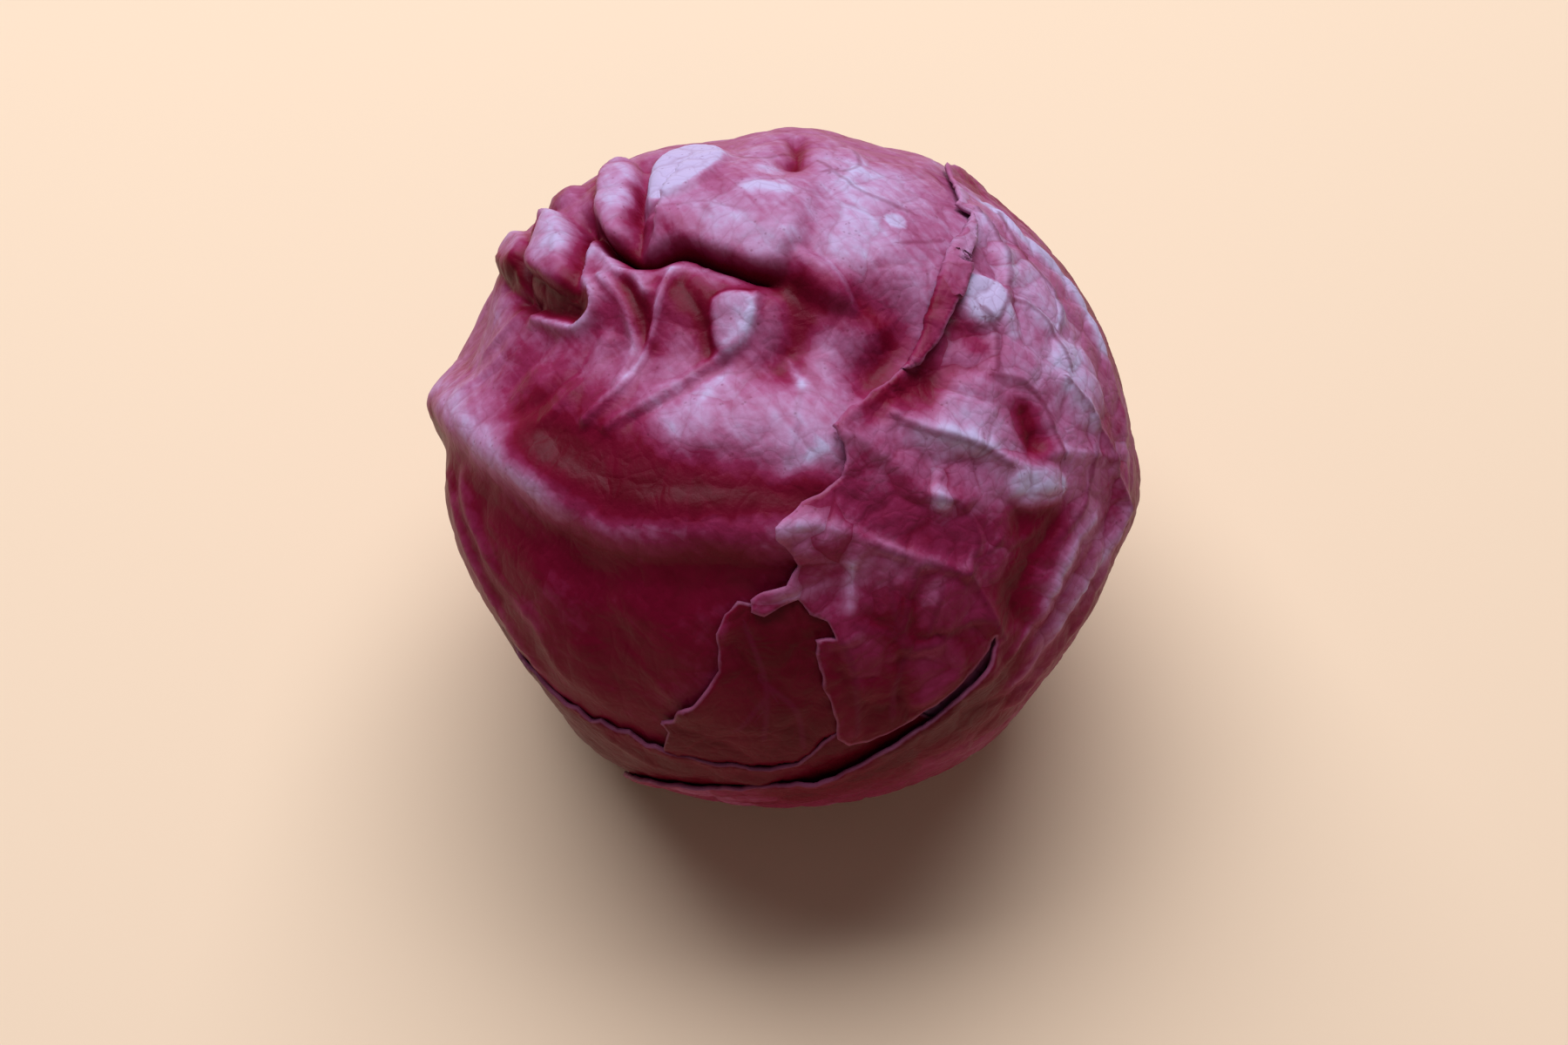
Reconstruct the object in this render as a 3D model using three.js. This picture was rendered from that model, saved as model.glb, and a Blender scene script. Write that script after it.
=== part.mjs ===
// A trimmed red cabbage head that stands on the cut end of its stalk.
// Millimetres, +Z up. The origin is the middle of the cut face, and the front looks along -Y.

import * as THREE from "three";
import { ConvexHull } from "three/addons/math/ConvexHull.js";

const HEAD_RADIUS = 70; // half the width of the head
const HEAD_HALF_HEIGHT = 62;
const BLADE = 1.2; // thickness of a leaf
const AIR = 0.4; // gap between two leaves that lie on each other
const CLEAR_OF_GROUND = 1; // the leaves end this far above the cut face
const HEART_INSET = 14; // depth of the dense heart below the outside of the head
const STALK_RADIUS = 15;
const STALK_EDGE = -73.4; // latitude at which the leaves end round the stalk
const CRUMPLED = 2.25; // spacing of the corners on the crumpled upper left, degrees
const FINE = 3.1; // on the rest of the front
const COARSE = 6.4; // and on the plain back

const CENTRE = new THREE.Vector3(0, 0, HEAD_HALF_HEIGHT);
const FACE_TILT = THREE.MathUtils.degToRad(51.2); // the face is the front seen from above
const { clamp, degToRad, radToDeg, smoothstep } = THREE.MathUtils;

// Places on the head are directions from its centre. On the face they are given by
// degrees to the right of its middle and degrees above it.
function seen([right, up]) {
  const out = Math.cos(degToRad(up)) * Math.cos(degToRad(right));
  const rise = Math.sin(degToRad(up));
  return new THREE.Vector3(
    Math.cos(degToRad(up)) * Math.sin(degToRad(right)),
    rise * Math.sin(FACE_TILT) - out * Math.cos(FACE_TILT),
    rise * Math.cos(FACE_TILT) + out * Math.sin(FACE_TILT),
  );
}

// Elsewhere they are given by longitude, from the front towards +X, and latitude.
function round([longitude, latitude]) {
  const across = Math.cos(degToRad(latitude));
  return new THREE.Vector3(
    across * Math.sin(degToRad(longitude)),
    -across * Math.cos(degToRad(longitude)),
    Math.sin(degToRad(latitude)),
  );
}

// The end of a leaf round the stalk, from one longitude to another.
function base(from, to) {
  const parts = Math.ceil(Math.abs(to - from) / 14);
  const ends = [];
  for (let i = 0; i <= parts; i += 1) {
    ends.push(round([from + ((to - from) * i) / parts, STALK_EDGE]));
  }
  return ends;
}

// A flat map of the whole head seen from above, true along every line from the crown to
// the stalk. Margins are straight between their corners on it.
function onMap(direction) {
  const polar = radToDeg(Math.acos(clamp(direction.z, -1, 1)));
  const longitude = Math.atan2(direction.x, -direction.y);
  return new THREE.Vector2(polar * Math.sin(longitude), -polar * Math.cos(longitude));
}

function fromMap(point) {
  return round([radToDeg(Math.atan2(point.x, -point.y)), 90 - point.length()]);
}

// Turns rows of a relief into lines of directions, rounded at their corners:
// folds and dents { line, width, height }, raised panels { outline, flank, height } and
// steps { line, fade, profile }, whose profile runs from below the line to above it.
function asRelief(rows, where) {
  return rows.map((row) => {
    const ends = (row.line ?? row.outline).map(where);
    if (ends.length < 3) {
      return { ...row, line: ends };
    }
    const curve = new THREE.CatmullRomCurve3(ends, Boolean(row.outline));
    const line = curve.getPoints(3 * ends.length).map((point) => point.normalize());
    return { ...row, line, map: line.map(onMap) };
  });
}

const onFace = (rows) => asRelief(rows, seen);
const onBack = (rows) => asRelief(rows, round);

// The outline of the head and the hollow above the ridge, in mm.
const OUTLINE = onFace([
  { line: [[-86, -10], [-82, -22], [-74, -35]], width: 12, height: -8.6 },
  { line: [[-85, 10]], width: 6, height: 2.8 },
  { line: [[-86, 26]], width: 8, height: -3 },
  { line: [[82, 36], [82, 8]], width: 14, height: -2.2 },
  { line: [[84, -5]], width: 9, height: 1.2 },
  { line: [[80, -22], [74, -36]], width: 12, height: -3.4 },
  { line: [[-34, 72], [-70, 79], [-116, 78]], width: 9, height: -2 },
  { line: [[50, 68], [106, 72], [99, 55], [64, 52]], width: 9, height: -1.6 },
  { line: [[-80, 20], [-55, 20], [-30, 18], [-10, 17], [8, 17], [22, 16]], width: 9, height: -3.6 },
  { line: [[-12, 5], [-3, 5], [6, 3]], width: 6, height: 1.3 },
  { line: [[-44, 3], [-34, -2], [-22, -4.5], [-8, -5], [6, -5]], width: 4, height: 1.5 },
]);

// The rolled ridge from the left corner to the right leaf.
const RIDGE = onFace([
  {
    line: [
      [-86, 9], [-74, 8], [-65, 6], [-57, 3.5], [-52, 1], [-43, -3], [-36, -7], [-28, -10.5],
      [-21, -11.5], [-13, -11.5], [-5, -12], [4, -12.5], [14, -13],
    ],
    profile: [
      [-12, 0], [-7, -1.1], [-3.6, -0.6], [-1.6, 0.9], [0, 2], [1.8, 2.2], [4, 1.1], [7.5, -0.8],
      [10.5, -0.6], [14, 0],
    ],
    fade: 8,
  },
]);

// The leaves, the innermost first: the margin, how far above the head's own surface the
// leaf lies at its margin and further in, with places where it stands off more, and the
// leaf's own relief.
const LEAVES = {
  // the big leaf over the top, the left and the front left, crumpled at the upper left
  crown_leaf: {
    margin: [
      ...[[62, 45], [57, 28], [53, 10], [49, -8], [43, -24], [35, -38]].map(seen),
      ...[[24, -25], [20, -45], [16, -60]].map(round),
      ...base(14, -154),
      ...[
        [-154, -50], [-152, -22], [-151, -8], [-158, -6], [-174, -6], [168, -6], [148, -6],
        [124, 4],
      ].map(round),
    ],
    atMargin: 0,
    inside: 0,
    folds: onFace([
      { line: [[-56, 44], [-48, 40], [-44, 34], [-42, 30]], width: 1.5, height: -3 },
      { line: [[-66, 42], [-60, 35], [-59, 30], [-56, 27]], width: 1.3, height: -1.6 },
      { line: [[-54, 59], [-44, 53], [-38, 47], [-34, 42], [-31, 37]], width: 1.4, height: -3.6 },
      { line: [[-55, 45], [-48, 41]], width: 2, height: -2.5 },
      { line: [[-60, 28], [-52, 26.5], [-42, 25]], width: 2.2, height: -2.4 },
      { line: [[-68, 30], [-60, 28]], width: 2, height: -1.6 },
      {
        line: [
          [-44, 39], [-44, 36], [-42, 32], [-38, 28.5], [-37, 25], [-40, 22.5], [-44, 22.5],
          [-52, 24],
        ],
        width: 1.2, height: 2,
      },
      { line: [[-64, 33], [-58, 25], [-66, 18]], width: 1.6, height: 1 },
      { line: [[-42, 37], [-38, 35], [-33, 32], [-29, 31], [-26, 28]], width: 1.3, height: 1.8 },
      { line: [[-37, 31], [-31, 27], [-28, 22], [-27, 18], [-28, 13]], width: 1.1, height: 1.3 },
      { line: [[-30, 29], [-27, 25], [-25, 19], [-26, 14]], width: 2.2, height: -1.2 },
      { line: [[-22, 32], [-23, 26], [-24.5, 19], [-27, 12], [-32, 6]], width: 0.9, height: 1.5 },
      { line: [[-20, 30], [-16, 26], [-14, 22], [-13, 17]], width: 2.2, height: -1.2 },
      { line: [[-5, 28], [-6, 22], [-8, 19], [-12, 17], [-18, 12], [-28, 5]], width: 0.9, height: 1 },
      { line: [[-10, 16], [-17, 10], [-24, 6]], width: 1.2, height: -0.8 },
      { line: [[-36, 22], [-38, 14], [-44, 8]], width: 1.6, height: -0.9 },
      { line: [[-33, 20], [-35, 12], [-41, 5]], width: 1.2, height: 0.7 },
      { line: [[-46, 20], [-52, 12]], width: 2.2, height: -0.9 },
      { line: [[-56, 20], [-64, 12]], width: 2, height: 0.7 },
      { line: [[1, 29], [2, 22], [-1, 15]], width: 3.4, height: -2 },
      { line: [[17, 27], [22, 24], [20, 18], [14, 13]], width: 4.4, height: -2.4 },
      { line: [[3, 13], [1.5, 6], [0.6, 0]], width: 0.6, height: 0.5 },
      { line: [[-31, 43.5], [-25, 42], [-20, 39.5], [-14, 37], [-8, 34]], width: 2.4, height: 1 },
      { line: [[7, 72], [5, 64], [3, 60]], width: 1.6, height: -2 },
      { line: [[3, 60], [-2, 55]], width: 2.6, height: -0.6 },
      { line: [[-5, 48], [3, 40]], width: 7, height: 1.2 },
      { line: [[22, 44], [18, 34]], width: 7, height: 0.9 },
      { line: [[30, 66], [24, 58], [16, 52]], width: 1.6, height: 0.5 },
      { line: [[12, 60], [18, 50], [28, 46]], width: 1.8, height: 0.5 },
      { line: [[-66, -2], [-62, -8], [-57, -18], [-50, -32]], width: 1.6, height: 1 },
      { line: [[-60, -3], [-57, -8], [-51, -17], [-44, -25], [-42, -33]], width: 1.7, height: 1 },
      { line: [[-63, -4], [-59, -11], [-53, -22]], width: 1.3, height: -0.8 },
      { line: [[-55, -9], [-48, -20]], width: 1.4, height: -0.7 },
      { line: [[-40, -16], [-36, -36]], width: 4, height: 0.8 },
      { line: [[-27, -29], [-20, -36]], width: 0.8, height: 0.45 },
      { line: [[-20, -22], [-15, -36]], width: 5, height: 0.7 },
      { line: [[-34, -10], [-30, -26]], width: 5, height: -0.7 },
    ]),
    pads: onFace([
      {
        outline: [
          [-82, 35], [-84, 40], [-74, 40], [-66, 38.5], [-63, 36], [-64, 33], [-72, 32.5],
        ],
        flank: 2.4, height: 2.4,
      },
      {
        outline: [
          [-60, 34.5], [-66, 39.5], [-70, 44.5], [-58, 43], [-51, 39.5], [-46, 34.5], [-41, 29.5],
          [-46, 30], [-54, 32],
        ],
        flank: 2.2, height: 3.3,
      },
      {
        outline: [
          [-47, 43], [-52, 47.5], [-64, 55], [-62, 59], [-50, 58], [-42, 50.5], [-37, 44],
          [-33.5, 39.5], [-37, 39], [-43, 41],
        ],
        flank: 2.2, height: 2.9,
      },
      {
        outline: [
          [-38, 49], [-46, 58], [-50, 67], [-34, 69], [-20, 61], [-21, 50], [-27, 45.5],
          [-34, 45.5],
        ],
        flank: 2.4, height: 1.5,
      },
      {
        outline: [
          [-13, 27], [-9, 28.5], [-5, 27], [-6, 22], [-8, 19], [-11, 18], [-13, 21],
        ],
        flank: 2, height: 1.3,
      },
      { outline: [[3, 35], [9, 32], [13, 25.5], [8, 26], [3, 30]], flank: 3, height: 2.2 },
      { outline: [[-80, 47], [-70, 46], [-66, 49], [-74, 52]], flank: 3, height: 1.8 },
    ]),
    steps: onFace([
      {
        line: [
          [-47, 42], [-42, 39], [-37, 37], [-32, 35.6], [-27, 35.6], [-21, 37], [-13, 34.8],
          [-6, 32.2], [2, 30],
        ],
        profile: [[-8, 0], [-4, -0.6], [-1.6, -2.4], [-0.2, -5.6], [1, -5.6], [2, -1.2], [3, 0]],
        fade: 7,
      },
      {
        line: [
          [-32, 36.4], [-27, 36], [-21, 37.2], [-13, 34.8], [-6, 32.2], [3, 30],
        ],
        profile: [[0.4, 0], [1.6, 0.9], [4.6, 2.4], [6.6, 2.8], [14, 2], [27, 0]],
        fade: 5,
      },
    ]),
  },
  // a smooth leaf at the lower middle
  front_leaf: {
    margin: [
      ...[
        [-5, -21], [-7, -20.5], [-9, -22], [-10.5, -25], [-10.5, -29], [-10.3, -31], [-13, -34],
      ].map(seen),
      ...[
        [-16, -36.5], [-19, -38], [-21, -40.2], [-24, -40.8], [-23, -42.5], [-26, -46], [-29, -52],
      ].map(seen),
      ...[[-24, -20], [-22, -45], [-20, -60]].map(round),
      ...base(-18, 24),
      ...[[26, -58], [28, -30], [26, -6]].map(round),
      ...[[24, -40], [20, -30], [14, -22], [6, -18], [-2, -20]].map(seen),
    ],
    atMargin: 1.4,
    inside: 0.3,
    standOff: onFace([
      { line: [[-12, -33], [-18, -38]], width: 2.5, height: 0.9 },
    ]),
    folds: onFace([
      { line: [[-8, -27], [-4, -33]], width: 2.2, height: -0.9 },
      { line: [[-8, -22], [-10, -26]], width: 1.3, height: 0.9 },
      { line: [[-14, -38], [-6, -42]], width: 4, height: 0.7 },
      { line: [[-2, -28], [0, -38]], width: 3, height: 0.6 },
    ]),
  },
  // a short leaf with a ragged margin, round the lower left and the lower front
  lower_leaf: {
    margin: [
      ...[
        [-52, -34], [-50, -37], [-47, -39.3], [-44, -39.8], [-42, -42], [-39, -41.8], [-36, -43.8],
      ].map(seen),
      ...[[-33, -43.6], [-30.5, -46.3], [-28, -46.2], [-24, -48.6], [-21, -49], [-16, -50.7]].map(seen),
      ...[[-12, -50.3], [-8, -51.6], [-3, -51.6], [3, -50.2]].map(seen),
      ...[[5.5, -48], [8, -45], [12, -42], [22, -38], [34, -42]].map(seen),
      ...[[40, -12], [42, -36], [40, -58]].map(round),
      ...base(38, -84),
      ...[[-86, -56], [-78, -34], [-70, -20], [-60, -10]].map(round),
    ],
    atMargin: 0.9,
    inside: 0.4,
    standOff: onFace([
      { line: [[-28, -47]], width: 5, height: 0.5 },
    ]),
    folds: onFace([
      { line: [[-39, -46], [-30, -54]], width: 2, height: 0.8 },
      { line: [[-14, -54], [-4, -56]], width: 2, height: 0.7 },
    ]),
  },
  // the netted, quilted leaf over the right side, torn at the left and the lower front
  right_leaf: {
    margin: [
      ...[
        [63, 58], [58, 55], [51, 51], [47, 47.5], [44, 46], [46, 43], [39, 41], [31, 38.5],
        [27, 35],
      ].map(seen),
      ...[
        [24, 30], [22.5, 24.5], [20.5, 18.5], [19.5, 14.5], [17, 12.5], [12, 9], [7, 5],
        [8.5, 2.5],
      ].map(seen),
      ...[
        [9, 0], [8.5, -2.5], [5, -5], [2.5, -6], [-1, -9], [-1, -10.5], [1.5, -13], [2.2, -15],
      ].map(seen),
      ...[
        [0.5, -18], [-3, -19], [-5, -20], [-5, -21.7], [-3, -22.3], [2, -20.3], [4, -22.3],
        [6.5, -23.3],
      ].map(seen),
      ...[[8, -25.5], [5, -26], [5.5, -29], [7, -34], [9.5, -39.5], [10.5, -43], [13, -44.5]].map(seen),
      ...[
        [16.5, -44], [20, -42.4], [24, -39.6], [28, -36], [31.6, -32.4], [34, -29], [35.2, -25.6],
      ].map(seen),
      ...[[36, -27], [35.5, -30], [33.5, -33.7], [30, -37.3], [26, -41.2], [22, -44.4]].map(seen),
      ...[[17.5, -48], [12.5, -51], [8, -53.2], [2, -54.6], [-8, -56.6], [-20, -58]].map(seen),
      ...[[-25, -16], [-30, -26], [-28, -45], [-26, -60]].map(round),
      ...base(-24, 122),
      ...[[124, -58], [128, -38], [133, -14], [137, 8], [140, 30], [139, 44]].map(round),
    ],
    atMargin: 1.6,
    inside: 0.5,
    standOff: onFace([
      { line: [[36, -32], [29, -41], [18, -50], [8, -54]], width: 4, height: 1.2 },
      { line: [[-1, -9.5]], width: 3, height: 1.2 },
      { line: [[-4, -20.5], [2, -18]], width: 2.5, height: 1.3 },
      { line: [[8, 5], [16, 11], [22, 16]], width: 2.2, height: 0.9 },
    ]),
    folds: onFace([
      {
        line: [
          [17, 7], [21, 5], [26, 4], [31, 2], [35, 0], [38, -1], [45, 1], [52, 1], [59, 0],
        ],
        width: 1.5, height: 1.22,
      },
      { line: [[49, 12], [57, 3], [62, -5], [66, -10]], width: 1.6, height: 1.01 },
      { line: [[48, 44], [48, 36], [45, 30], [42, 26], [40, 23]], width: 1.3, height: 0.65 },
      { line: [[9, 4], [14, 1], [18, -2], [21, -5], [30, -6]], width: 1.4, height: 0.86 },
      {
        line: [
          [-1, -9], [4, -9], [9, -10], [13, -12], [19, -14], [23, -15], [28, -16],
        ],
        width: 1.5, height: 1.15,
      },
      { line: [[11, -13], [10, -16], [10, -20], [9, -26]], width: 1.3, height: 0.86 },
      { line: [[20, -15], [19, -20], [19, -27]], width: 1.1, height: 0.5 },
      { line: [[28, -16], [30, -18], [34, -23], [37, -26]], width: 1.2, height: 0.5 },
      { line: [[40, 7], [41, 2]], width: 2.4, height: -1.58 },
      { line: [[28, 24], [33, 21], [35, 19]], width: 3, height: -1.08 },
      { line: [[14, 8], [20, 11], [25, 13]], width: 2.6, height: -1.15 },
      { line: [[22, 0], [30, -1]], width: 2.2, height: -0.86 },
      { line: [[38, -9], [44, -9], [40, -15], [38, -21]], width: 3.2, height: -1.22 },
      { line: [[42, -4]], width: 3, height: 0.86 },
      { line: [[44, 14]], width: 3.5, height: 0.72 },
      { line: [[56, 12]], width: 4, height: 0.72 },
      { line: [[6, -3], [10, -6]], width: 2.2, height: -0.65 },
      { line: [[13, -16], [14, -21]], width: 2.2, height: -0.72 },
      { line: [[24, -20], [25, -24]], width: 3.2, height: 0.65 },
      {
        line: [
          [60, 46], [59, 39], [64, 33], [66, 26], [66, 18], [66, 5], [60, -18], [50, -38],
        ],
        width: 2.2, height: 1.08,
      },
      { line: [[64, -7], [61, -12], [55, -18], [50, -26], [45, -35]], width: 1.2, height: 0.8 },
      { line: [[54, -9], [49, -13], [46, -20], [41, -28], [37, -33]], width: 1.1, height: 0.7 },
      { line: [[59, -9], [52, -16], [46, -26]], width: 1.6, height: -0.65 },
    ]),
    pads: onFace([
      {
        outline: [
          [35, 30], [42, 29], [40, 24], [37, 22], [33, 23], [32, 26],
        ],
        flank: 1.65, height: 0.93,
      },
      { outline: [[41, 25], [43, 23], [42, 19], [39, 20]], flank: 1.2, height: 0.5 },
      { outline: [[46, 36], [54, 34], [57, 24], [50, 20], [45, 25]], flank: 3, height: 0.62 },
      { outline: [[47, 16], [56, 18], [59, 8], [51, 5]], flank: 3, height: 0.68 },
      { outline: [[24, 3], [33, 1], [34, 12], [27, 12]], flank: 3, height: 0.62 },
      { outline: [[36, -2], [45, -1], [46, -6], [37, -7]], flank: 1.35, height: 0.62 },
      { outline: [[22, -4], [25, -4], [25, -7], [22, -7]], flank: 0.9, height: 0.56 },
      { outline: [[11, -24], [18, -27], [19, -36], [14, -36], [9, -28]], flank: 1.8, height: 0.68 },
      { outline: [[20, -28], [27, -26], [31, -31], [25, -37], [21, -36]], flank: 1.95, height: 0.81 },
      { outline: [[22, -17], [28, -18], [32, -23], [21, -25]], flank: 1.65, height: 0.5 },
      { outline: [[12, -14], [18, -16], [17, -23], [12, -21]], flank: 1.5, height: 0.5 },
      { outline: [[47, -14], [58, -12], [52, -24], [44, -30]], flank: 3, height: 0.62 },
    ]),
  },
  // the outermost leaf, with its midrib and side ribs, on the side turned away
  back_leaf: {
    margin: [
      ...base(112, 236),
      ...[
        [-122, -58], [-117, -36], [-112, -14], [-115, -5], [-114, 1], [-121, 6], [-127, 8],
      ].map(round),
      ...[[-138, 13], [-148, 13], [-160, 18], [-174, 17], [176, 20], [164, 17], [152, 14]].map(round),
      ...[
        [140, 10], [131, 9], [120, 4], [117, -1], [111, -8], [112, -22], [109, -40], [110, -58],
      ].map(round),
    ],
    atMargin: 1.6,
    inside: 0.7,
    folds: onBack([
      { line: [[176, -66], [174, -40], [176, -10], [179, 12]], width: 3, height: 2 },
      { line: [[176, -12], [160, 4], [146, 22]], width: 2.2, height: 1.4 },
      { line: [[176, 0], [163, 18], [156, 30]], width: 2.2, height: 1.3 },
      { line: [[175, -26], [154, -14], [138, 2]], width: 2.2, height: 1.3 },
      { line: [[175, -18], [-168, -2], [-152, 18]], width: 2.2, height: 1.4 },
      { line: [[176, -4], [-172, 14], [-164, 29]], width: 2.2, height: 1.3 },
      { line: [[174, -34], [-164, -20], [-144, -4]], width: 2.2, height: 1.2 },
      { line: [[150, -6], [164, 12]], width: 5, height: -1.2 },
      { line: [[-150, 2], [-162, 20]], width: 5, height: -1.2 },
      { line: [[150, -40], [120, -30]], width: 8, height: -1.4 },
      { line: [[-120, -20], [-105, 10]], width: 2.2, height: 1.2 },
      { line: [[-100, -30], [-92, -8]], width: 2.4, height: 1 },
      { line: [[100, -40], [98, -12], [104, 14]], width: 2.4, height: 1.2 },
    ]),
  },
};

const COLOURS = { leaf: 0x6d1738, pale: 0xb99aa4 };

// The nearest point of a line of directions: degrees away, degrees along the line and
// degrees to the side that lies above a line walked to the right.
const chord = new THREE.Vector3();
const rest = new THREE.Vector3();
function nearest(line, direction) {
  const best = { away: Infinity, along: 0, side: 0, total: 0 };
  for (let i = 0; i < Math.max(1, line.length - 1); i += 1) {
    const start = line[i];
    const end = line[i + 1] ?? start;
    chord.subVectors(end, start);
    rest.subVectors(direction, start);
    const length = chord.length();
    const share = length > 0 ? clamp(rest.dot(chord) / length ** 2, 0, 1) : 0;
    const away = radToDeg(rest.addScaledVector(chord, -share).length());
    if (away < best.away) {
      best.away = away;
      best.along = best.total + radToDeg(share * length);
      best.side = rest.crossVectors(start, end).dot(direction) < 0 ? -away : away;
    }
    best.total += radToDeg(length);
  }
  return best;
}

function isInside(outline, point) {
  let inside = false;
  outline.forEach((a, i) => {
    const b = outline[(i + 1) % outline.length];
    const crosses = a.y > point.y !== b.y > point.y;
    if (crosses && point.x < ((b.x - a.x) * (point.y - a.y)) / (b.y - a.y) + a.x) {
      inside = !inside;
    }
  });
  return inside;
}

function bell(x) {
  return Math.exp(-x * x);
}

function foldHeight({ line, width, height }, direction) {
  const share = nearest(line, direction).away / width;
  return height * Math.exp(-(share ** (width > 2.5 ? 2 : 1.25)));
}

function padHeight({ line, map, flank, height }, direction) {
  const { away } = nearest(line, direction);
  const inward = isInside(map, onMap(direction)) ? away : -away;
  return height * smoothstep(inward, -0.4 * flank, 0.6 * flank);
}

function stepHeight({ line, profile, fade }, direction) {
  const { side, along, total } = nearest(line, direction);
  const last = profile.length - 1;
  if (side <= profile[0][0] || side >= profile[last][0]) {
    return 0;
  }
  const i = profile.findIndex(([at]) => at > side);
  const share = (side - profile[i - 1][0]) / (profile[i][0] - profile[i - 1][0]);
  const height = THREE.MathUtils.lerp(profile[i - 1][1], profile[i][1], share);
  return height * smoothstep(along, 0, fade) * smoothstep(total - along, 0, fade);
}

// The height of a whole relief at a direction.
function reliefHeight({ folds = [], pads = [], steps = [] }, direction) {
  const heights = [
    ...folds.map((fold) => foldHeight(fold, direction)),
    ...pads.map((pad) => padHeight(pad, direction)),
    ...steps.map((step) => stepHeight(step, direction)),
  ];
  return heights.reduce((sum, height) => sum + height, 0);
}

// The outside of the head that all leaves follow, as the distance from its centre.
function skin(direction) {
  const across = Math.hypot(direction.x, direction.y) / HEAD_RADIUS;
  const plain = 1 / Math.hypot(across, direction.z / HEAD_HALF_HEIGHT);
  return plain + reliefHeight({ folds: OUTLINE, steps: RIDGE }, direction);
}

// The spacing of the corners of the mesh at a direction, in degrees.
function spacing(direction) {
  const crumpled = smoothstep(radToDeg(direction.angleTo(seen([-44, 36]))), 24, 40);
  const turnedAway = smoothstep(radToDeg(direction.angleTo(seen([0, 0]))), 68, 105);
  const front = THREE.MathUtils.lerp(CRUMPLED, FINE, crumpled);
  return THREE.MathUtils.lerp(front, COARSE, turnedAway * crumpled);
}

// Shared corners: first the margins, then the lines of narrow relief, then an even fill.
// Every leaf is cut from one and the same triangulation, so no two can pass through each
// other.
const corners = [];
function addCorner(direction, apart) {
  const limit = Math.cos(degToRad(apart));
  if (!corners.some((corner) => corner.dot(direction) > limit)) {
    corners.push(direction);
  }
}

function addLine(line, apart, closed) {
  line.forEach((start, i) => {
    const end = line[i + 1] ?? (closed ? line[0] : start);
    const count = Math.max(1, Math.round(radToDeg(start.angleTo(end)) / spacing(start)));
    for (let k = 0; k < count; k += 1) {
      const point = onMap(start).lerp(onMap(end), k / count);
      addCorner(fromMap(point), apart);
    }
  });
}

const leaves = Object.values(LEAVES);
for (const leaf of leaves) {
  addLine(leaf.margin, 1.2, true);
}
const lines = [...RIDGE, ...leaves.flatMap(({ steps = [], pads = [] }) => [...steps, ...pads])];
const narrow = leaves.flatMap(({ folds = [] }) => folds).filter(({ width }) => width < 2.5);
for (const { line } of [...lines, ...narrow]) {
  addLine(line, 0.74 * spacing(line[0]), false);
}
const FILL = 24000;
for (let i = 0; i < FILL; i += 1) {
  const z = 1 - (2 * i + 1) / FILL;
  const turn = radToDeg(i * Math.PI * (3 - Math.sqrt(5)));
  const direction = round([turn, radToDeg(Math.asin(z))]);
  addCorner(direction, spacing(direction) * 0.86);
}

const numbers = new Map(corners.map((corner, i) => [corner, i]));
const triangles = new ConvexHull().setFromPoints(corners).faces.map((face) => {
  const first = face.edge;
  const ends = [first.head(), first.next.head(), first.next.next.head()];
  return ends.map((vertex) => numbers.get(vertex.point));
});
const skins = corners.map(skin);

// The triangles of a leaf, without the ones that touch the rest at a single corner.
function trianglesOf(leaf) {
  const map = leaf.margin.map(onMap);
  let kept = triangles.filter((triangle) => {
    const middle = new THREE.Vector3();
    triangle.forEach((corner) => middle.add(corners[corner]));
    return isInside(map, onMap(middle.normalize()));
  });
  for (;;) {
    const starts = rimOf(kept).map(([start]) => start);
    const pinched = new Set(starts.filter((start, i) => starts.indexOf(start) !== i));
    if (pinched.size === 0) {
      return kept;
    }
    kept = kept.filter((triangle) => !triangle.some((corner) => pinched.has(corner)));
  }
}

// The edges that belong to one triangle only, in walking order of that triangle.
function rimOf(kept) {
  const edges = kept.flatMap(([a, b, c]) => [[a, b], [b, c], [c, a]]);
  const walked = new Set(edges.map((edge) => edge.join(" ")));
  return edges.filter(([a, b]) => !walked.has(`${b} ${a}`));
}

function solid(positions, index, name, colour) {
  const geometry = new THREE.BufferGeometry();
  geometry.setAttribute("position", new THREE.Float32BufferAttribute(positions, 3));
  geometry.setIndex(index);
  geometry.computeVertexNormals();
  const material = new THREE.MeshStandardMaterial({ color: colour, roughness: 0.45 });
  const mesh = new THREE.Mesh(geometry, material);
  mesh.name = name;
  return mesh;
}

// A leaf's height above the skin of the head.
function lift(leaf, direction) {
  const { away } = nearest([...leaf.margin, leaf.margin[0]], direction);
  const extra = reliefHeight({ folds: leaf.standOff }, direction) * bell(away / 4);
  return THREE.MathUtils.lerp(leaf.inside, leaf.atMargin, bell(away / 5)) + extra;
}

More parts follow.
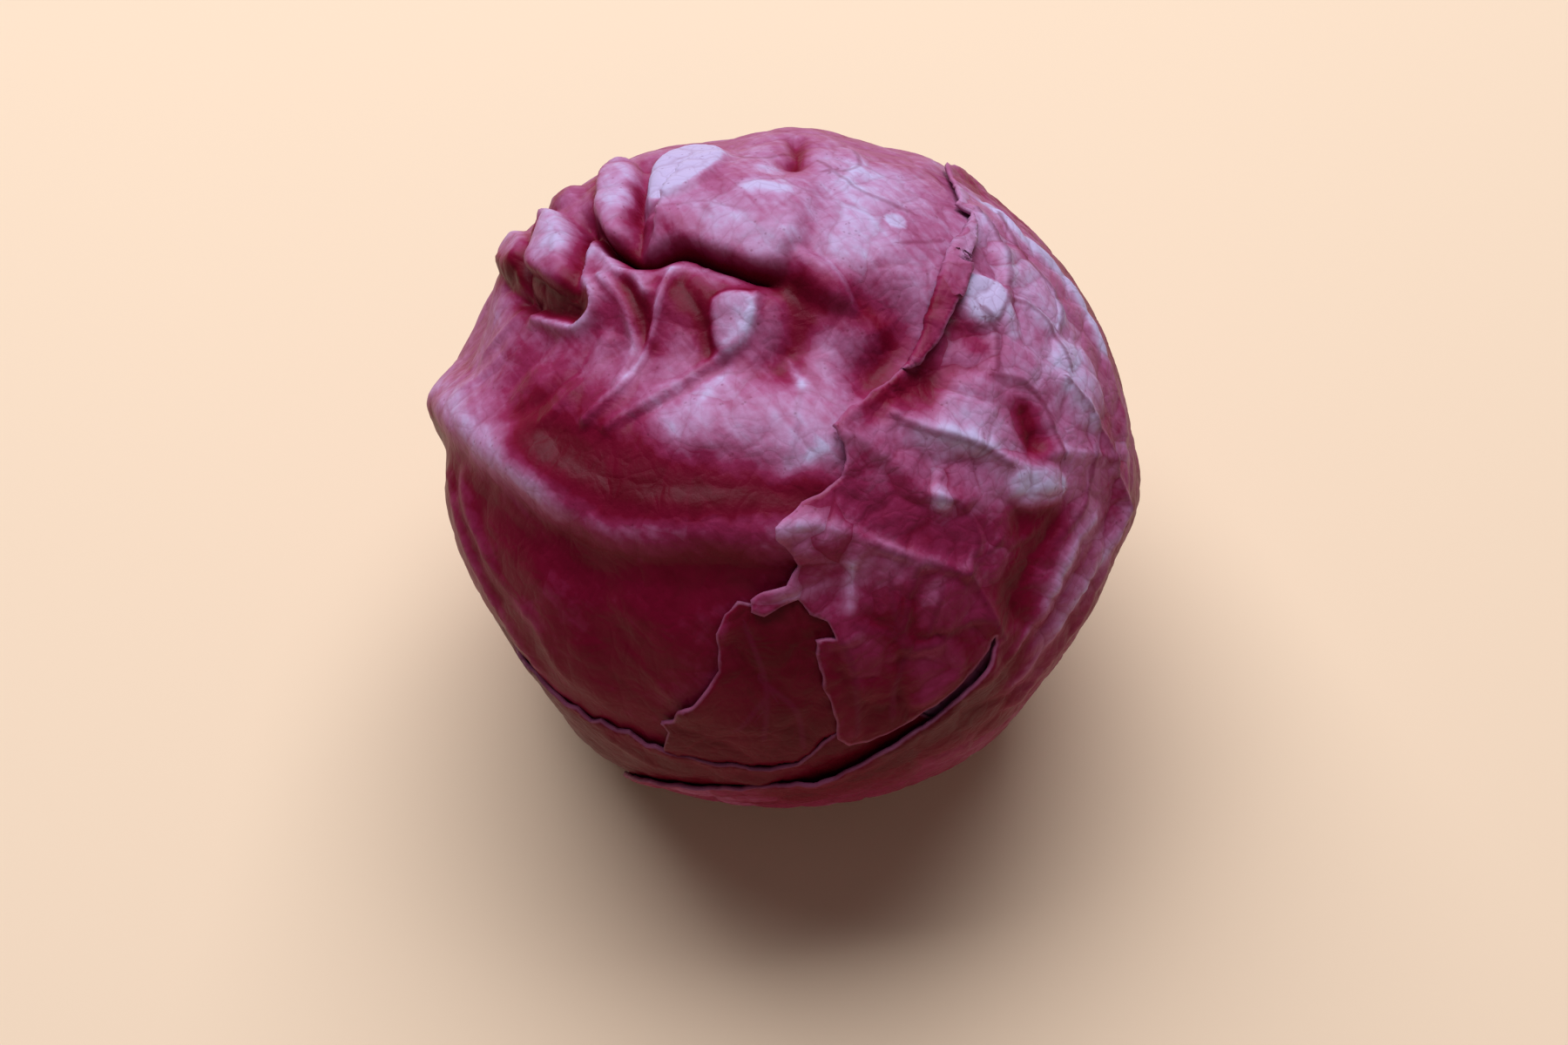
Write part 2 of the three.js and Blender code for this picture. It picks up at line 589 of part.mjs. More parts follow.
// The leaves are laid from the outside in, each below the one that covers it.
const ceiling = corners.map(({ z }) => (z < 0 ? (HEAD_HALF_HEIGHT - CLEAR_OF_GROUND) / -z : Infinity));
function lay(name, leaf) {
  const kept = trianglesOf(leaf);
  const used = [...new Set(kept.flat())];
  const place = new Map(used.map((corner, i) => [corner, i]));
  const outer = used.map((corner) => {
    const direction = corners[corner];
    const free = skins[corner] + reliefHeight(leaf, direction) + lift(leaf, direction);
    return Math.min(free, ceiling[corner]);
  });
  used.forEach((corner, i) => {
    ceiling[corner] = Math.min(ceiling[corner], outer[i] - BLADE - AIR);
  });
  const positions = [0, BLADE].flatMap((depth) =>
    used.flatMap((corner, i) => {
      return CENTRE.clone().addScaledVector(corners[corner], outer[i] - depth).toArray();
    }),
  );
  const index = [];
  for (const [a, b, c] of kept) {
    const [i, j, k] = [place.get(a), place.get(b), place.get(c)];
    index.push(i, j, k, k + used.length, j + used.length, i + used.length);
  }
  for (const [a, b] of rimOf(kept)) {
    const [i, j] = [place.get(a), place.get(b)];
    index.push(j, i, i + used.length, j, i + used.length, j + used.length);
  }
  return solid(positions, index, name, COLOURS.leaf);
}

// The cut stalk, ringed by the scars of trimmed leaves, and the dense heart on it.
function stalkAndHeart() {
  const radius = HEAD_RADIUS - HEART_INSET;
  const half = HEAD_HALF_HEIGHT - HEART_INSET;
  const cut = [[STALK_RADIUS - 1.2, 0], [STALK_RADIUS - 0.3, 0.7]];
  const profile = [...cut, [STALK_RADIUS, 3], [STALK_RADIUS - 0.5, 6]];
  for (let latitude = -74; latitude < 90; latitude += 8) {
    const angle = degToRad(latitude);
    profile.push([radius * Math.cos(angle), HEAD_HALF_HEIGHT + half * Math.sin(angle)]);
  }
  const sides = 32;
  const positions = [0, 0, 0];
  for (const [across, height] of profile) {
    for (let i = 0; i < sides; i += 1) {
      const turn = (2 * Math.PI * i) / sides;
      const scarred = height < 8 ? 1 - 0.035 * (1 + Math.cos(5 * turn + height)) : 1;
      positions.push(across * scarred * Math.sin(turn), -across * scarred * Math.cos(turn), height);
    }
  }
  positions.push(0, 0, HEAD_HALF_HEIGHT + half);
  const top = positions.length / 3 - 1;
  const last = 1 + (profile.length - 1) * sides;
  const index = [];
  for (let i = 0; i < sides; i += 1) {
    const next = (i + 1) % sides;
    index.push(0, 1 + next, 1 + i);
    for (let low = 1; low < last; low += sides) {
      const high = low + sides;
      index.push(low + i, low + next, high + next, low + i, high + next, high + i);
    }
    index.push(top, last + i, last + next);
  }
  return solid(positions, index, "stalk_and_heart", COLOURS.pale);
}

const head = new THREE.Group();
head.name = "red_cabbage_head";
for (const [name, leaf] of Object.entries(LEAVES).reverse()) {
  head.add(lay(name, leaf));
}
head.add(stalkAndHeart());

export default head;
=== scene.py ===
import math
import random
from types import SimpleNamespace

import bmesh
import bpy
import numpy as np
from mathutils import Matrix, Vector, geometry


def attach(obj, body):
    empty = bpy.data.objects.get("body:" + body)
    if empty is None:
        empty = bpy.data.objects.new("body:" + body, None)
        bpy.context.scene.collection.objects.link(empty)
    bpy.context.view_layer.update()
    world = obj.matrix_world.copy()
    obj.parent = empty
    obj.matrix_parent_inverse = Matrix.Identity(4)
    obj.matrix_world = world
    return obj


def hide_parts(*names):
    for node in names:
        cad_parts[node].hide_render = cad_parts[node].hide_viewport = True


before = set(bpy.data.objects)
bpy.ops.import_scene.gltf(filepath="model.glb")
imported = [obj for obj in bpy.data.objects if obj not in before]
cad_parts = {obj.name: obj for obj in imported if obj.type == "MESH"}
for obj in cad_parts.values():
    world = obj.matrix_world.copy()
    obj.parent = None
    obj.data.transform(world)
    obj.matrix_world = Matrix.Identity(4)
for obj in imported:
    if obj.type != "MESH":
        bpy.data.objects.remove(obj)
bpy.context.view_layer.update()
scene = bpy.context.scene


# Camera, floor and light. The photo looks down on the head from the front, from about
# 0.4 m away; the daylight comes from above and a little behind, and is soft.
camera_data = bpy.data.cameras.new("camera")
camera_data.sensor_width = 36.0
camera_data.lens = 46.0
camera_data.clip_start = 0.02
camera = bpy.data.objects.new("camera", camera_data)
camera.location = (0.0, -0.2519, 0.3753)
camera.rotation_euler = (math.radians(37.0), 0.0, 0.0)
scene.collection.objects.link(camera)
scene.camera = camera

floor_mesh = bpy.data.meshes.new("floor")
floor_mesh.from_pydata([(-3, -3, 0), (3, -3, 0), (3, 3, 0), (-3, 3, 0)], [], [(0, 1, 2, 3)])
floor = bpy.data.objects.new("floor", floor_mesh)
scene.collection.objects.link(floor)
floor_paint = bpy.data.materials.new("floor_paint")
floor_paint.use_nodes = True
floor_shader = floor_paint.node_tree.nodes["Principled BSDF"]
floor_shader.inputs["Base Color"].default_value = (0.80, 0.57, 0.39, 1.0)
floor_shader.inputs["Roughness"].default_value = 0.9
floor_mesh.materials.append(floor_paint)


def softbox(name, place, target, size, watts, colour):
    """A soft rectangular lamp that faces its target; metres and watts."""
    data = bpy.data.lights.new(name, "AREA")
    data.shape = "RECTANGLE"
    data.size, data.size_y = size
    data.energy = watts
    data.color = colour
    lamp = bpy.data.objects.new(name, data)
    lamp.location = place
    lamp.rotation_euler = (Vector(target) - Vector(place)).to_track_quat("-Z", "Y").to_euler()
    scene.collection.objects.link(lamp)


softbox("sky_window", (-0.1, 0.55, 1.3), (0, 0, 0.08), (1.6, 1.2), 36.0, (0.82, 0.90, 1.0))
softbox("front_fill", (0.3, -1.6, 0.9), (0, 0, 0.05), (1.4, 1.0), 2.8, (1.0, 0.74, 0.58))
world = bpy.data.worlds.new("room")
scene.world = world
world.use_nodes = True
world.node_tree.nodes["Background"].inputs["Color"].default_value = (0.80, 0.86, 1.0, 1.0)
world.node_tree.nodes["Background"].inputs["Strength"].default_value = 0.10
scene.view_settings.view_transform = "Standard"
scene.view_settings.look = "None"


# Back leaf. The outermost wrapper leaf, firm and slightly hollow, that closes the side
# turned away; its thick midrib runs up from the stalk and forks into side ribs. All the
# leaves grew pressed against each other, so this section also holds their common form.
HEAD_RADIUS = 70.0  # mm
HEAD_HALF_HEIGHT = 62.0
CLEAR_OF_GROUND = 1.0
BLADE = 0.8  # how thick a leaf is
AIR = 0.4  # between two leaves that lie on each other
STALK_EDGE = -73.4  # latitude where the leaves end round the stalk
MARGIN_BAND = 5.0  # degrees from its margin where a leaf takes the margin's height
STAND_OFF_BAND = 4.0
MARGIN_STEP = 2.5  # degrees between the corners that a margin is cut to
RAGGED = 0.16  # degrees that a margin wanders to either side
SHARP_BELOW = 2.5  # a fold narrower than this many degrees has a sharp crest
FOLD_REACH = 3.2  # widths of a fold, beyond which nothing is left of it
FLANK_OUTSIDE = 0.4  # share of a pad's flank that lies outside its outline
CENTRE = np.array([0.0, 0.0, HEAD_HALF_HEIGHT])
FACE_TILT = math.radians(51.2)
FACE_OUT = np.array([0.0, -math.cos(FACE_TILT), math.sin(FACE_TILT)])
FACE_UP = np.array([0.0, math.sin(FACE_TILT), math.cos(FACE_TILT)])
MM_PER_DEGREE = math.radians(HEAD_RADIUS)


def seen(places):
    """Directions from the centre, by degrees right of and above the middle of the face."""
    right, up = np.radians(np.asarray(places, float)).T
    across = np.cos(up)
    x = (across * np.sin(right))[:, None] * np.array([1.0, 0.0, 0.0])
    return x + (across * np.cos(right))[:, None] * FACE_OUT + np.sin(up)[:, None] * FACE_UP


def around(places):
    """Directions by longitude, from the front towards +X, and latitude."""
    longitude, latitude = np.radians(np.asarray(places, float)).T
    across = np.cos(latitude)
    return np.stack([across * np.sin(longitude), -across * np.cos(longitude), np.sin(latitude)], 1)


def base(start, end, step=8.0):
    """The end of a leaf round the stalk, from one longitude to another."""
    count = math.ceil(abs(end - start) / step)
    return around([(start + (end - start) * i / count, STALK_EDGE) for i in range(count + 1)])


def smoothed(line, step=1.5, closed=False):
    """A line of directions rounded at its corners and cut into short steps of degrees."""
    if len(line) < 3:
        return line
    ends = np.concatenate([line[-1:], line, line[:2]] if closed else [line[:1], line, line[-1:]])
    points = []
    for i in range(1, len(ends) - 2):
        p0, p1, p2, p3 = ends[i - 1 : i + 3]
        count = max(1, round(math.degrees(np.linalg.norm(p2 - p1)) / step))
        for t in np.arange(count) / count:
            bend = (2 * p0 - 5 * p1 + 4 * p2 - p3) * t * t + (3 * p1 - p0 - 3 * p2 + p3) * t**3
            points.append(p1 + 0.5 * ((p2 - p0) * t + bend))
    points = np.array(points + [line[0] if closed else line[-1]])
    return points / np.linalg.norm(points, axis=1, keepdims=True)


def nearest(line, directions):
    """For each direction: degrees away from the line, to its upper side, along it, and the foot."""
    if len(line) == 1:
        away = np.degrees(np.linalg.norm(directions - line[0], axis=1))
        foot = np.tile(line[0], (len(directions), 1))
        return SimpleNamespace(away=away, side=away, along=away * 0, foot=foot, length=0.0)
    chords = line[1:] - line[:-1]
    lengths = np.degrees(np.linalg.norm(chords, axis=1))
    best = np.full(len(directions), np.inf)
    piece = np.zeros(len(directions), int)
    share = np.zeros(len(directions))
    for i, chord in enumerate(chords):
        rest = directions - line[i]
        part = np.clip(rest @ chord / max(chord @ chord, 1e-12), 0, 1)
        rest -= part[:, None] * chord
        gap = np.einsum("ij,ij->i", rest, rest)
        closer = gap < best
        best[closer] = gap[closer]
        piece[closer] = i
        share[closer] = part[closer]
    away = np.degrees(np.sqrt(best))
    starts, ends = line[:-1][piece], line[1:][piece]
    below = np.einsum("ij,ij->i", directions, np.cross(starts, ends)) < 0
    side = np.where(below, -away, away)
    walked = np.concatenate([[0.0], np.cumsum(lengths)])
    along = walked[piece] + share * lengths[piece]
    foot = starts + share[:, None] * chords[piece]
    return SimpleNamespace(away=away, side=side, along=along, foot=foot, length=walked[-1])


def close_to(line, directions, reach):
    """Which directions can lie within that many degrees of a line."""
    middle = line.mean(0) / np.linalg.norm(line.mean(0))
    spread = math.degrees(math.acos(np.clip((line @ middle).min(), -1, 1)))
    return directions @ middle > math.cos(math.radians(min(179.0, spread + reach)))


def soft(value, low, high):
    """0 up to low, 1 from high on, and a smooth rise between them."""
    t = np.clip((value - low) / (high - low), 0, 1)
    return t * t * (3 - 2 * t)


def faded(spot, fade):
    """1 along a line, and down to 0 within that many degrees of its two ends."""
    return soft(spot.along, 0, fade) * soft(spot.length - spot.along, 0, fade)


def on_map(directions):
    """A flat map of the whole head seen from above, the one its margins are cut on."""
    polar = np.degrees(np.arccos(np.clip(directions[:, 2], -1, 1)))
    flat = np.maximum(np.hypot(directions[:, 0], directions[:, 1]), 1e-9)
    return directions[:, :2] / flat[:, None] * polar[:, None]


def from_map(points):
    """The directions of places on that map."""
    polar = np.hypot(points[:, 0], points[:, 1])
    flat = points / np.maximum(polar, 1e-9)[:, None] * np.sin(np.radians(polar))[:, None]
    return np.concatenate([flat, np.cos(np.radians(polar))[:, None]], 1)


def inside(corners, points):
    """Which points of a map lie within a closed line of it."""
    hit = np.zeros(len(points), bool)
    x, y = points.T
    for a, b in zip(corners, np.roll(corners, -1, 0)):
        crosses = (a[1] > y) != (b[1] > y)
        if crosses.any():
            hit ^= crosses & (x < (b[0] - a[0]) * (y - a[1]) / (b[1] - a[1] + 1e-12) + a[0])
    return hit


def spaced(corners, spacing, rounding):
    """A closed line of a map, with each side cut into even stretches of about that length."""
    cut = []
    for corner, after in zip(corners, np.roll(corners, -1, 0)):
        count = max(1, rounding(np.linalg.norm(after - corner) / spacing))
        cut += [corner + (after - corner) * k / count for k in range(count)]
    return np.array(cut)


def folds(where, *rows):
    """Rounded folds and dents, sharp where narrow, or patches of tint, painted shade and painted highlight:
    (line, width in degrees, height).
    """
    lines = [(smoothed(where(line)), width, height) for line, width, height in rows]

    def field(directions):
        total = np.zeros(len(directions))
        for line, width, height in lines:
            near = close_to(line, directions, FOLD_REACH * width)
            if near.any():
                away = nearest(line, directions[near]).away
                power = 2 if width > SHARP_BELOW else 1.25
                total[near] += height * np.exp(-((away / width) ** power))
        return total

    return field


def pads(where, *rows):
    """Raised panels with a flank round them: (outline, flank in degrees, height)."""
    rings = [(smoothed(where(outline), closed=True), flank, height) for outline, flank, height in rows]

    def field(directions):
        total = np.zeros(len(directions))
        for ring, flank, height in rings:
            near = close_to(ring, directions, flank)
            if near.any():
                away = nearest(ring, directions[near]).away
                signed = np.where(inside(on_map(ring), on_map(directions[near])), away, -away)
                foot, top = -FLANK_OUTSIDE * flank, (1 - FLANK_OUTSIDE) * flank
                total[near] += height * soft(signed, foot, top)
        return total

    return field


def together(*fields):
    """Several fields added up."""
    return lambda directions: sum(field(directions) for field in fields)


PROFILE_PLACES = 200
BLUR = np.hanning(15)[1:-1] / np.hanning(15).sum()  # rounds the corners of a profile


def steps(where, *rows):
    """Steps: (line walked to the right, heights from degrees below to above it, fade at its ends)."""
    lines = []
    for line, profile, fade in rows:
        degrees, heights = np.array(profile, float).T
        at = np.linspace(degrees[0], degrees[-1], PROFILE_PLACES)
        height = np.pad(np.interp(at, degrees, heights), len(BLUR) // 2, "edge")
        lines.append((smoothed(where(line)), at, np.convolve(height, BLUR, "valid"), fade))

    def field(directions):
        total = np.zeros(len(directions))
        for line, at, height, fade in lines:
            near = close_to(line, directions, max(-at[0], at[-1]))
            spot = nearest(line, directions[near])
            total[near] += np.interp(spot.side, at, height) * faded(spot, fade)
        return total

    return field


def overhangs(where, *rows):
    """Where a fold hangs over its lower side: (line, degrees above it, width, reach in mm, fade)."""
    lines = [(smoothed(where(line)), at, width, reach, fade) for line, at, width, reach, fade in rows]

    def field(directions):
        shift = np.zeros_like(directions)
        for line, at, width, reach, fade in lines:
            near = np.nonzero(close_to(line, directions, 3 * width + at))[0]
            spot = nearest(line, directions[near])
            down = (spot.foot - directions[near]) * np.sign(spot.side)[:, None]
            length = np.linalg.norm(down, axis=1)
            amount = reach * np.exp(-(((spot.side - at) / width) ** 2)) * faded(spot, fade)
            amount *= soft(length, 0, 0.004)  # nothing on the line itself
            shift[near] += down / np.maximum(length, 1e-9)[:, None] * amount[:, None]
        return shift

    return field


# the outline of the head, the hollow above the ridge and the ridge that all leaves follow
outline_folds = folds(
    seen,
    ([(-86, -10), (-82, -22), (-74, -35)], 12, -8.6),
    ([(-85, 10)], 6, 2.8),
    ([(-86, 26)], 8, -3.0),
    ([(82, 36), (82, 8)], 14, -2.2),
    ([(84, -5)], 9, 1.2),
    ([(80, -22), (74, -36)], 12, -3.4),
    ([(-34, 72), (-70, 79), (-116, 78)], 9, -2.0),
    ([(50, 68), (106, 72), (99, 55), (64, 52)], 9, -1.6),
    ([(-80, 20), (-55, 20), (-30, 18), (-10, 17), (8, 17), (22, 16)], 9, -3.6),
    ([(-12, 5), (-3, 5), (6, 3)], 6, 1.3),
    ([(-44, 3), (-34, -2), (-22, -4.5), (-8, -5), (6, -5)], 4, 1.5),
)
RIDGE = [
    (-86, 9), (-74, 8), (-65, 6), (-57, 3.5), (-52, 1), (-43, -3), (-36, -7), (-28, -10.5),
    (-21, -11.5), (-13, -11.5), (-5, -12), (4, -12.5), (14, -13),
]
RIDGE_PROFILE = [
    (-12, 0), (-7, -1.1), (-3.6, -0.6), (-1.6, 0.9), (0, 2), (1.8, 2.2), (4, 1.1), (7.5, -0.8),
    (10.5, -0.6), (14, 0),
]
ridge_step = steps(seen, (RIDGE, RIDGE_PROFILE, 8))


def skin(directions):
    """The common form of the leaves, as mm from the centre."""
    across = np.hypot(directions[:, 0], directions[:, 1]) / HEAD_RADIUS
    plain = 1 / np.hypot(across, directions[:, 2] / HEAD_HALF_HEIGHT)
    return plain + outline_folds(directions) + ridge_step(directions)


VIEW_SPARE = 0.05  # how far past the edge of the photo's side a place still counts as seen
HIDDEN_FROM = 5.0  # degrees under another leaf's margin where a leaf can't be seen
CREST_PASSES = 14.0  # of smoothing, at a mesh of one degree, to tell crests from hollows
SMOOTH_PART = 1.6  # how much wider the mesh may be where a crumpled leaf is smooth
TRIANGLE_ROWS = 0.866  # height of an even triangle
CLEAR_OF_RIM = 0.75  # spacings between the rim and the places next to it
FAR = 99.0


class Leaf:
    """One leaf: its margin, its own relief, and how high it lies above the common form.

    It lies at_margin mm above that form at its margin and within mm further in; stand_off lifts
    stretches of the margin, and lean pushes its folds over to one side.
    """

    laid = []  # the leaves made so far, the outermost first

    def __init__(self, name, margin, middle, at_margin, within, relief, stand_off=None, lean=None):
        self.name = name
        self.middle = middle[0] / np.linalg.norm(middle[0])
        self.east = np.cross([0, 0, 1.0], self.middle)
        self.east = self.east / np.linalg.norm(self.east)
        self.north = np.cross(self.middle, self.east)
        self.at_margin, self.within = at_margin, within
        self.relief, self.stand_off, self.lean = relief, stand_off, lean
        self.margin_map = spaced(on_map(np.concatenate(margin)), MARGIN_STEP, math.ceil)
        self.margin = from_map(np.concatenate([self.margin_map, self.margin_map[:1]]))
        self.above = list(Leaf.laid)
        Leaf.laid.append(self)

    def covers(self, directions):
        return inside(self.margin_map, on_map(directions))

    def free(self, directions, form):
        """How far from the centre it would lie with nothing on it."""
        away = nearest(self.margin, directions).away
        reach = form + self.relief(directions)
        reach += self.within + (self.at_margin - self.within) * np.exp(-((away / MARGIN_BAND) ** 2))
        if self.stand_off:
            reach += self.stand_off(directions) * np.exp(-((away / STAND_OFF_BAND) ** 2))
        return reach

    def outer(self, directions):
        """How far from the centre its outer face lies, below the leaves laid on it."""
        form = skin(directions)
        down = np.maximum(-directions[:, 2], 1e-3)
        ceiling = np.where(directions[:, 2] < 0, (HEAD_HALF_HEIGHT - CLEAR_OF_GROUND) / down, np.inf)
        for leaf in self.above:
            covered = leaf.covers(directions)
            reach = leaf.free(directions[covered], form[covered])
            ceiling[covered] = np.minimum(reach, ceiling[covered]) - BLADE - AIR
        return np.minimum(self.free(directions, form), ceiling)

    def flat(self, directions):
        """Degrees east and north of the leaf's middle."""
        polar = np.degrees(np.arccos(np.clip(directions @ self.middle, -1, 1)))
        across = np.stack([directions @ self.east, directions @ self.north], 1)
        return across / np.maximum(np.linalg.norm(across, axis=1), 1e-9)[:, None] * polar[:, None]

    def lifted(self, points):
        """The directions of places on the leaf's own map."""
        polar = np.hypot(points[:, 0], points[:, 1])
        turned = points / np.maximum(polar, 1e-9)[:, None] * np.sin(np.radians(polar))[:, None]
        middle = np.cos(np.radians(polar))[:, None] * self.middle
        return middle + turned[:, :1] * self.east + turned[:, 1:] * self.north

    def shows(self, directions):
        """Where the leaf lies open to the photo's side, with some to spare."""
        open_to_view = directions @ FACE_OUT > -VIEW_SPARE
        for leaf in self.above:
            hidden = leaf.covers(directions) & (nearest(leaf.margin, directions).away > HIDDEN_FROM)
            open_to_view &= ~hidden
        return open_to_view

    def cut(self, fine, coarse, seed, crumpled=None):
        """The leaf on its own map: corners and triangles, fine where it shows or is crumpled."""
        random.seed(seed)
        rim = spaced(self.flat(self.margin[:-1]), fine, round)
        ends = np.roll(rim, -1, 0) - np.roll(rim, 1, 0)
        across = np.stack([ends[:, 1], -ends[:, 0]], 1) / np.linalg.norm(ends, axis=1, keepdims=True)
        wobble = np.array([random.uniform(-1, 1) for _ in rim])
        wobble = np.convolve(np.pad(wobble, 3, "wrap"), [0.1, 0.3, 0.6, 0.8, 0.6, 0.3, 0.1], "valid")
        rim = rim + across * (RAGGED * wobble)[:, None]

        def grid(spacing):
            low, high = rim.min(0), rim.max(0)
            rows = np.arange(low[1], high[1], spacing * TRIANGLE_ROWS)
            x, y = np.meshgrid(np.arange(low[0], high[0], spacing), rows)
            x = x + (np.arange(len(rows)) % 2)[:, None] * spacing / 2
            points = np.stack([x.ravel(), y.ravel()], 1)
            return points[inside(rim, points)]

        dense, wide = grid(fine), grid(coarse)
        dense = dense[self.shows(self.lifted(dense))]
        wide = wide[~self.shows(self.lifted(wide))]
        if crumpled is not None:
            line, reach = crumpled
            creased = dense[nearest(line, self.lifted(dense)).away < reach]
            dense = grid(fine * SMOOTH_PART)
            smooth = nearest(line, self.lifted(dense)).away >= reach
            dense = np.concatenate([creased, dense[smooth & self.shows(self.lifted(dense))]])
        points = np.concatenate([dense, wide])
        points = points[nearest(self.margin, self.lifted(points)).away > fine * CLEAR_OF_RIM]
        hem = [(i, (i + 1) % len(rim)) for i in range(len(rim))]
        corners = [Vector(point) for point in np.concatenate([rim, points])]
        places, _, faces = geometry.delaunay_2d_cdt(corners, hem, [], 0, 1e-5, False)[:3]
        places = np.array([tuple(place) for place in places])
        faces = np.array([tuple(face) for face in faces])
        return places, faces[inside(rim, places[faces].mean(1))]

    def mesh(self, fine, coarse, seed, tint, veins, turn_over=None, crumpled=None):
        """The outer face of the blade, with the fields that its colours follow."""
        places, faces = self.cut(fine, coarse, seed, crumpled)
        directions = self.lifted(places)
        reach = self.outer(directions)
        pairs = np.concatenate([faces[:, [0, 1]], faces[:, [1, 2]], faces[:, [2, 0]]])
        pairs = np.concatenate([pairs, pairs[:, ::-1]])
        neighbours = np.bincount(pairs[:, 0], minlength=len(places))
        smooth = reach.copy()
        for _ in range(round(CREST_PASSES / fine**2)):
            smooth = np.bincount(pairs[:, 0], smooth[pairs[:, 1]], minlength=len(places)) / neighbours
        points = CENTRE + reach[:, None] * directions
        if self.lean:
            points += self.lean(directions)
        if turn_over:
            points = turn_over(directions, points)
        vein_away = np.full(len(places), FAR)
        vein_side = np.full(len(places), FAR)
        for line in veins:
            spot = nearest(smoothed(seen(line)), directions)
            closer = spot.away < vein_away
            vein_away[closer] = spot.away[closer]
            vein_side[closer] = spot.side[closer]
        mesh = bpy.data.meshes.new(self.name)
        mesh.from_pydata((points / 1000).tolist(), [], faces.tolist())
        fields = {
            "tint": tint(directions),
            "crest": reach - smooth,
            "margin_away": nearest(self.margin, directions).away * MM_PER_DEGREE,
            "vein_away": vein_away * MM_PER_DEGREE,
            "vein_side": vein_side * MM_PER_DEGREE,
        }
        for name, values in fields.items():
            mesh.attributes.new(name, "FLOAT", "POINT").data.foreach_set("value", values)
        leaf_map = np.concatenate([places, np.zeros((len(places), 1))], 1) * MM_PER_DEGREE
        map_field = mesh.attributes.new("leaf_map", "FLOAT_VECTOR", "POINT")
        map_field.data.foreach_set("vector", leaf_map.ravel())
        normals = np.zeros(len(faces) * 3)
        mesh.polygons.foreach_get("normal", normals)
        if (normals.reshape(-1, 3) * directions[faces[:, 0]]).sum() < 0:
            mesh.flip_normals()
        mesh.shade_smooth()
        return mesh


def node(tree, kind, inputs=None, **settings):
    """A node with its settings; an input is a value or another node's output."""
    made = tree.nodes.new(kind)
    for name, value in settings.items():
        setattr(made, name, value)
    for name, value in (inputs or {}).items():
        if isinstance(value, bpy.types.NodeSocket):
            tree.links.new(value, made.inputs[name])
        else:
            made.inputs[name].default_value = value
    return made


def math_node(tree, operation, a, b=0.0, c=0.0, clamp=False):
    inputs = {0: a, 1: b, 2: c}
    return node(tree, "ShaderNodeMath", inputs, operation=operation, use_clamp=clamp).outputs[0]


NET_SIZES = [("Cell size", "Panel height"), ("Fine cell size", "Fine height")]
PANEL_STEEPNESS = 3.2
PANEL_TOP = 0.8
PANEL_ROUNDING = 0.3


def vein_net(name):
    """Nodes that raise a net of small veins on a leaf and round up the panels between them."""
    tree = bpy.data.node_groups.new(name, "GeometryNodeTree")
    tree.is_modifier = True
    make = tree.interface.new_socket
    make(name="Geometry", in_out="INPUT", socket_type="NodeSocketGeometry")
    for label in NET_SIZES[0] + NET_SIZES[1]:
        make(name=label, in_out="INPUT", socket_type="NodeSocketFloat")
    make(name="Material", in_out="INPUT", socket_type="NodeSocketMaterial")
    make(name="Geometry", in_out="OUTPUT", socket_type="NodeSocketGeometry")
    given = tree.nodes.new("NodeGroupInput")
    wanted = {"Name": "leaf_map"}
    leaf_map = node(tree, "GeometryNodeInputNamedAttribute", wanted, data_type="FLOAT_VECTOR")
    heights = []
    for size, tall in NET_SIZES:
        edge = net_distance(tree, leaf_map.outputs[0], given.outputs[size])
        share = math_node(tree, "MULTIPLY", edge, PANEL_STEEPNESS, clamp=True)
        dome = math_node(tree, "SMOOTH_MIN", share, PANEL_TOP, PANEL_ROUNDING)
        heights.append(math_node(tree, "MULTIPLY", dome, given.outputs[tall]))
    normal = node(tree, "GeometryNodeInputNormal").outputs[0]
    raised = {0: normal, "Scale": math_node(tree, "ADD", *heights)}
    offset = node(tree, "ShaderNodeVectorMath", raised, operation="SCALE").outputs[0]
    moved = node(tree, "GeometryNodeSetPosition", {"Geometry": given.outputs[0], "Offset": offset})
    real = node(tree, "GeometryNodeRealizeInstances", {"Geometry": moved.outputs[0]})
    skin_and_paint = {"Geometry": real.outputs[0], "Material": given.outputs["Material"]}
    dressed = node(tree, "GeometryNodeSetMaterial", skin_and_paint)
    out = tree.nodes.new("NodeGroupOutput")
    tree.links.new(dressed.outputs[0], out.inputs[0])
    return tree


def net_cells(tree, leaf_map, size):
    """The inputs of the cells that the small veins enclose, swayed by up to 7 mm."""
    waves = {"Vector": leaf_map, "Scale": 0.09, "Detail": 2.0}
    sway = node(tree, "ShaderNodeTexNoise", waves, noise_dimensions="2D").outputs["Color"]
    shift = {0: sway, 1: (7, 7, 0), 2: leaf_map}
    swayed = node(tree, "ShaderNodeVectorMath", shift, operation="MULTIPLY_ADD").outputs[0]
    return {"Vector": swayed, "Scale": math_node(tree, "DIVIDE", 1.0, size), "Randomness": 0.9}


def net_distance(tree, leaf_map, size):
    """How far a place is from the nearest line of the net, as a share of its cells."""
    settings = {"feature": "DISTANCE_TO_EDGE", "voronoi_dimensions": "2D"}
    cells = net_cells(tree, leaf_map, size)
    return node(tree, "ShaderNodeTexVoronoi", cells, **settings).outputs["Distance"]


net_tree = vein_net("small_veins")


def ramp(tree, value, stops):
    """The colour that a value between 0 and 1 has among the stops."""
    made = node(tree, "ShaderNodeValToRGB", {0: value})
    made.color_ramp.interpolation = "LINEAR"
    while len(made.color_ramp.elements) < len(stops):
        made.color_ramp.elements.new(0.5)
    for element, (position, colour) in zip(made.color_ramp.elements, stops):
        element.position = position
        element.color = (*colour, 1)
    return made.outputs[0]


def mixed(tree, share, under, over):
    """One colour laid over another, by its share."""
    return node(tree, "ShaderNodeMix", {0: share, 6: under, 7: over}, data_type="RGBA").outputs[2]


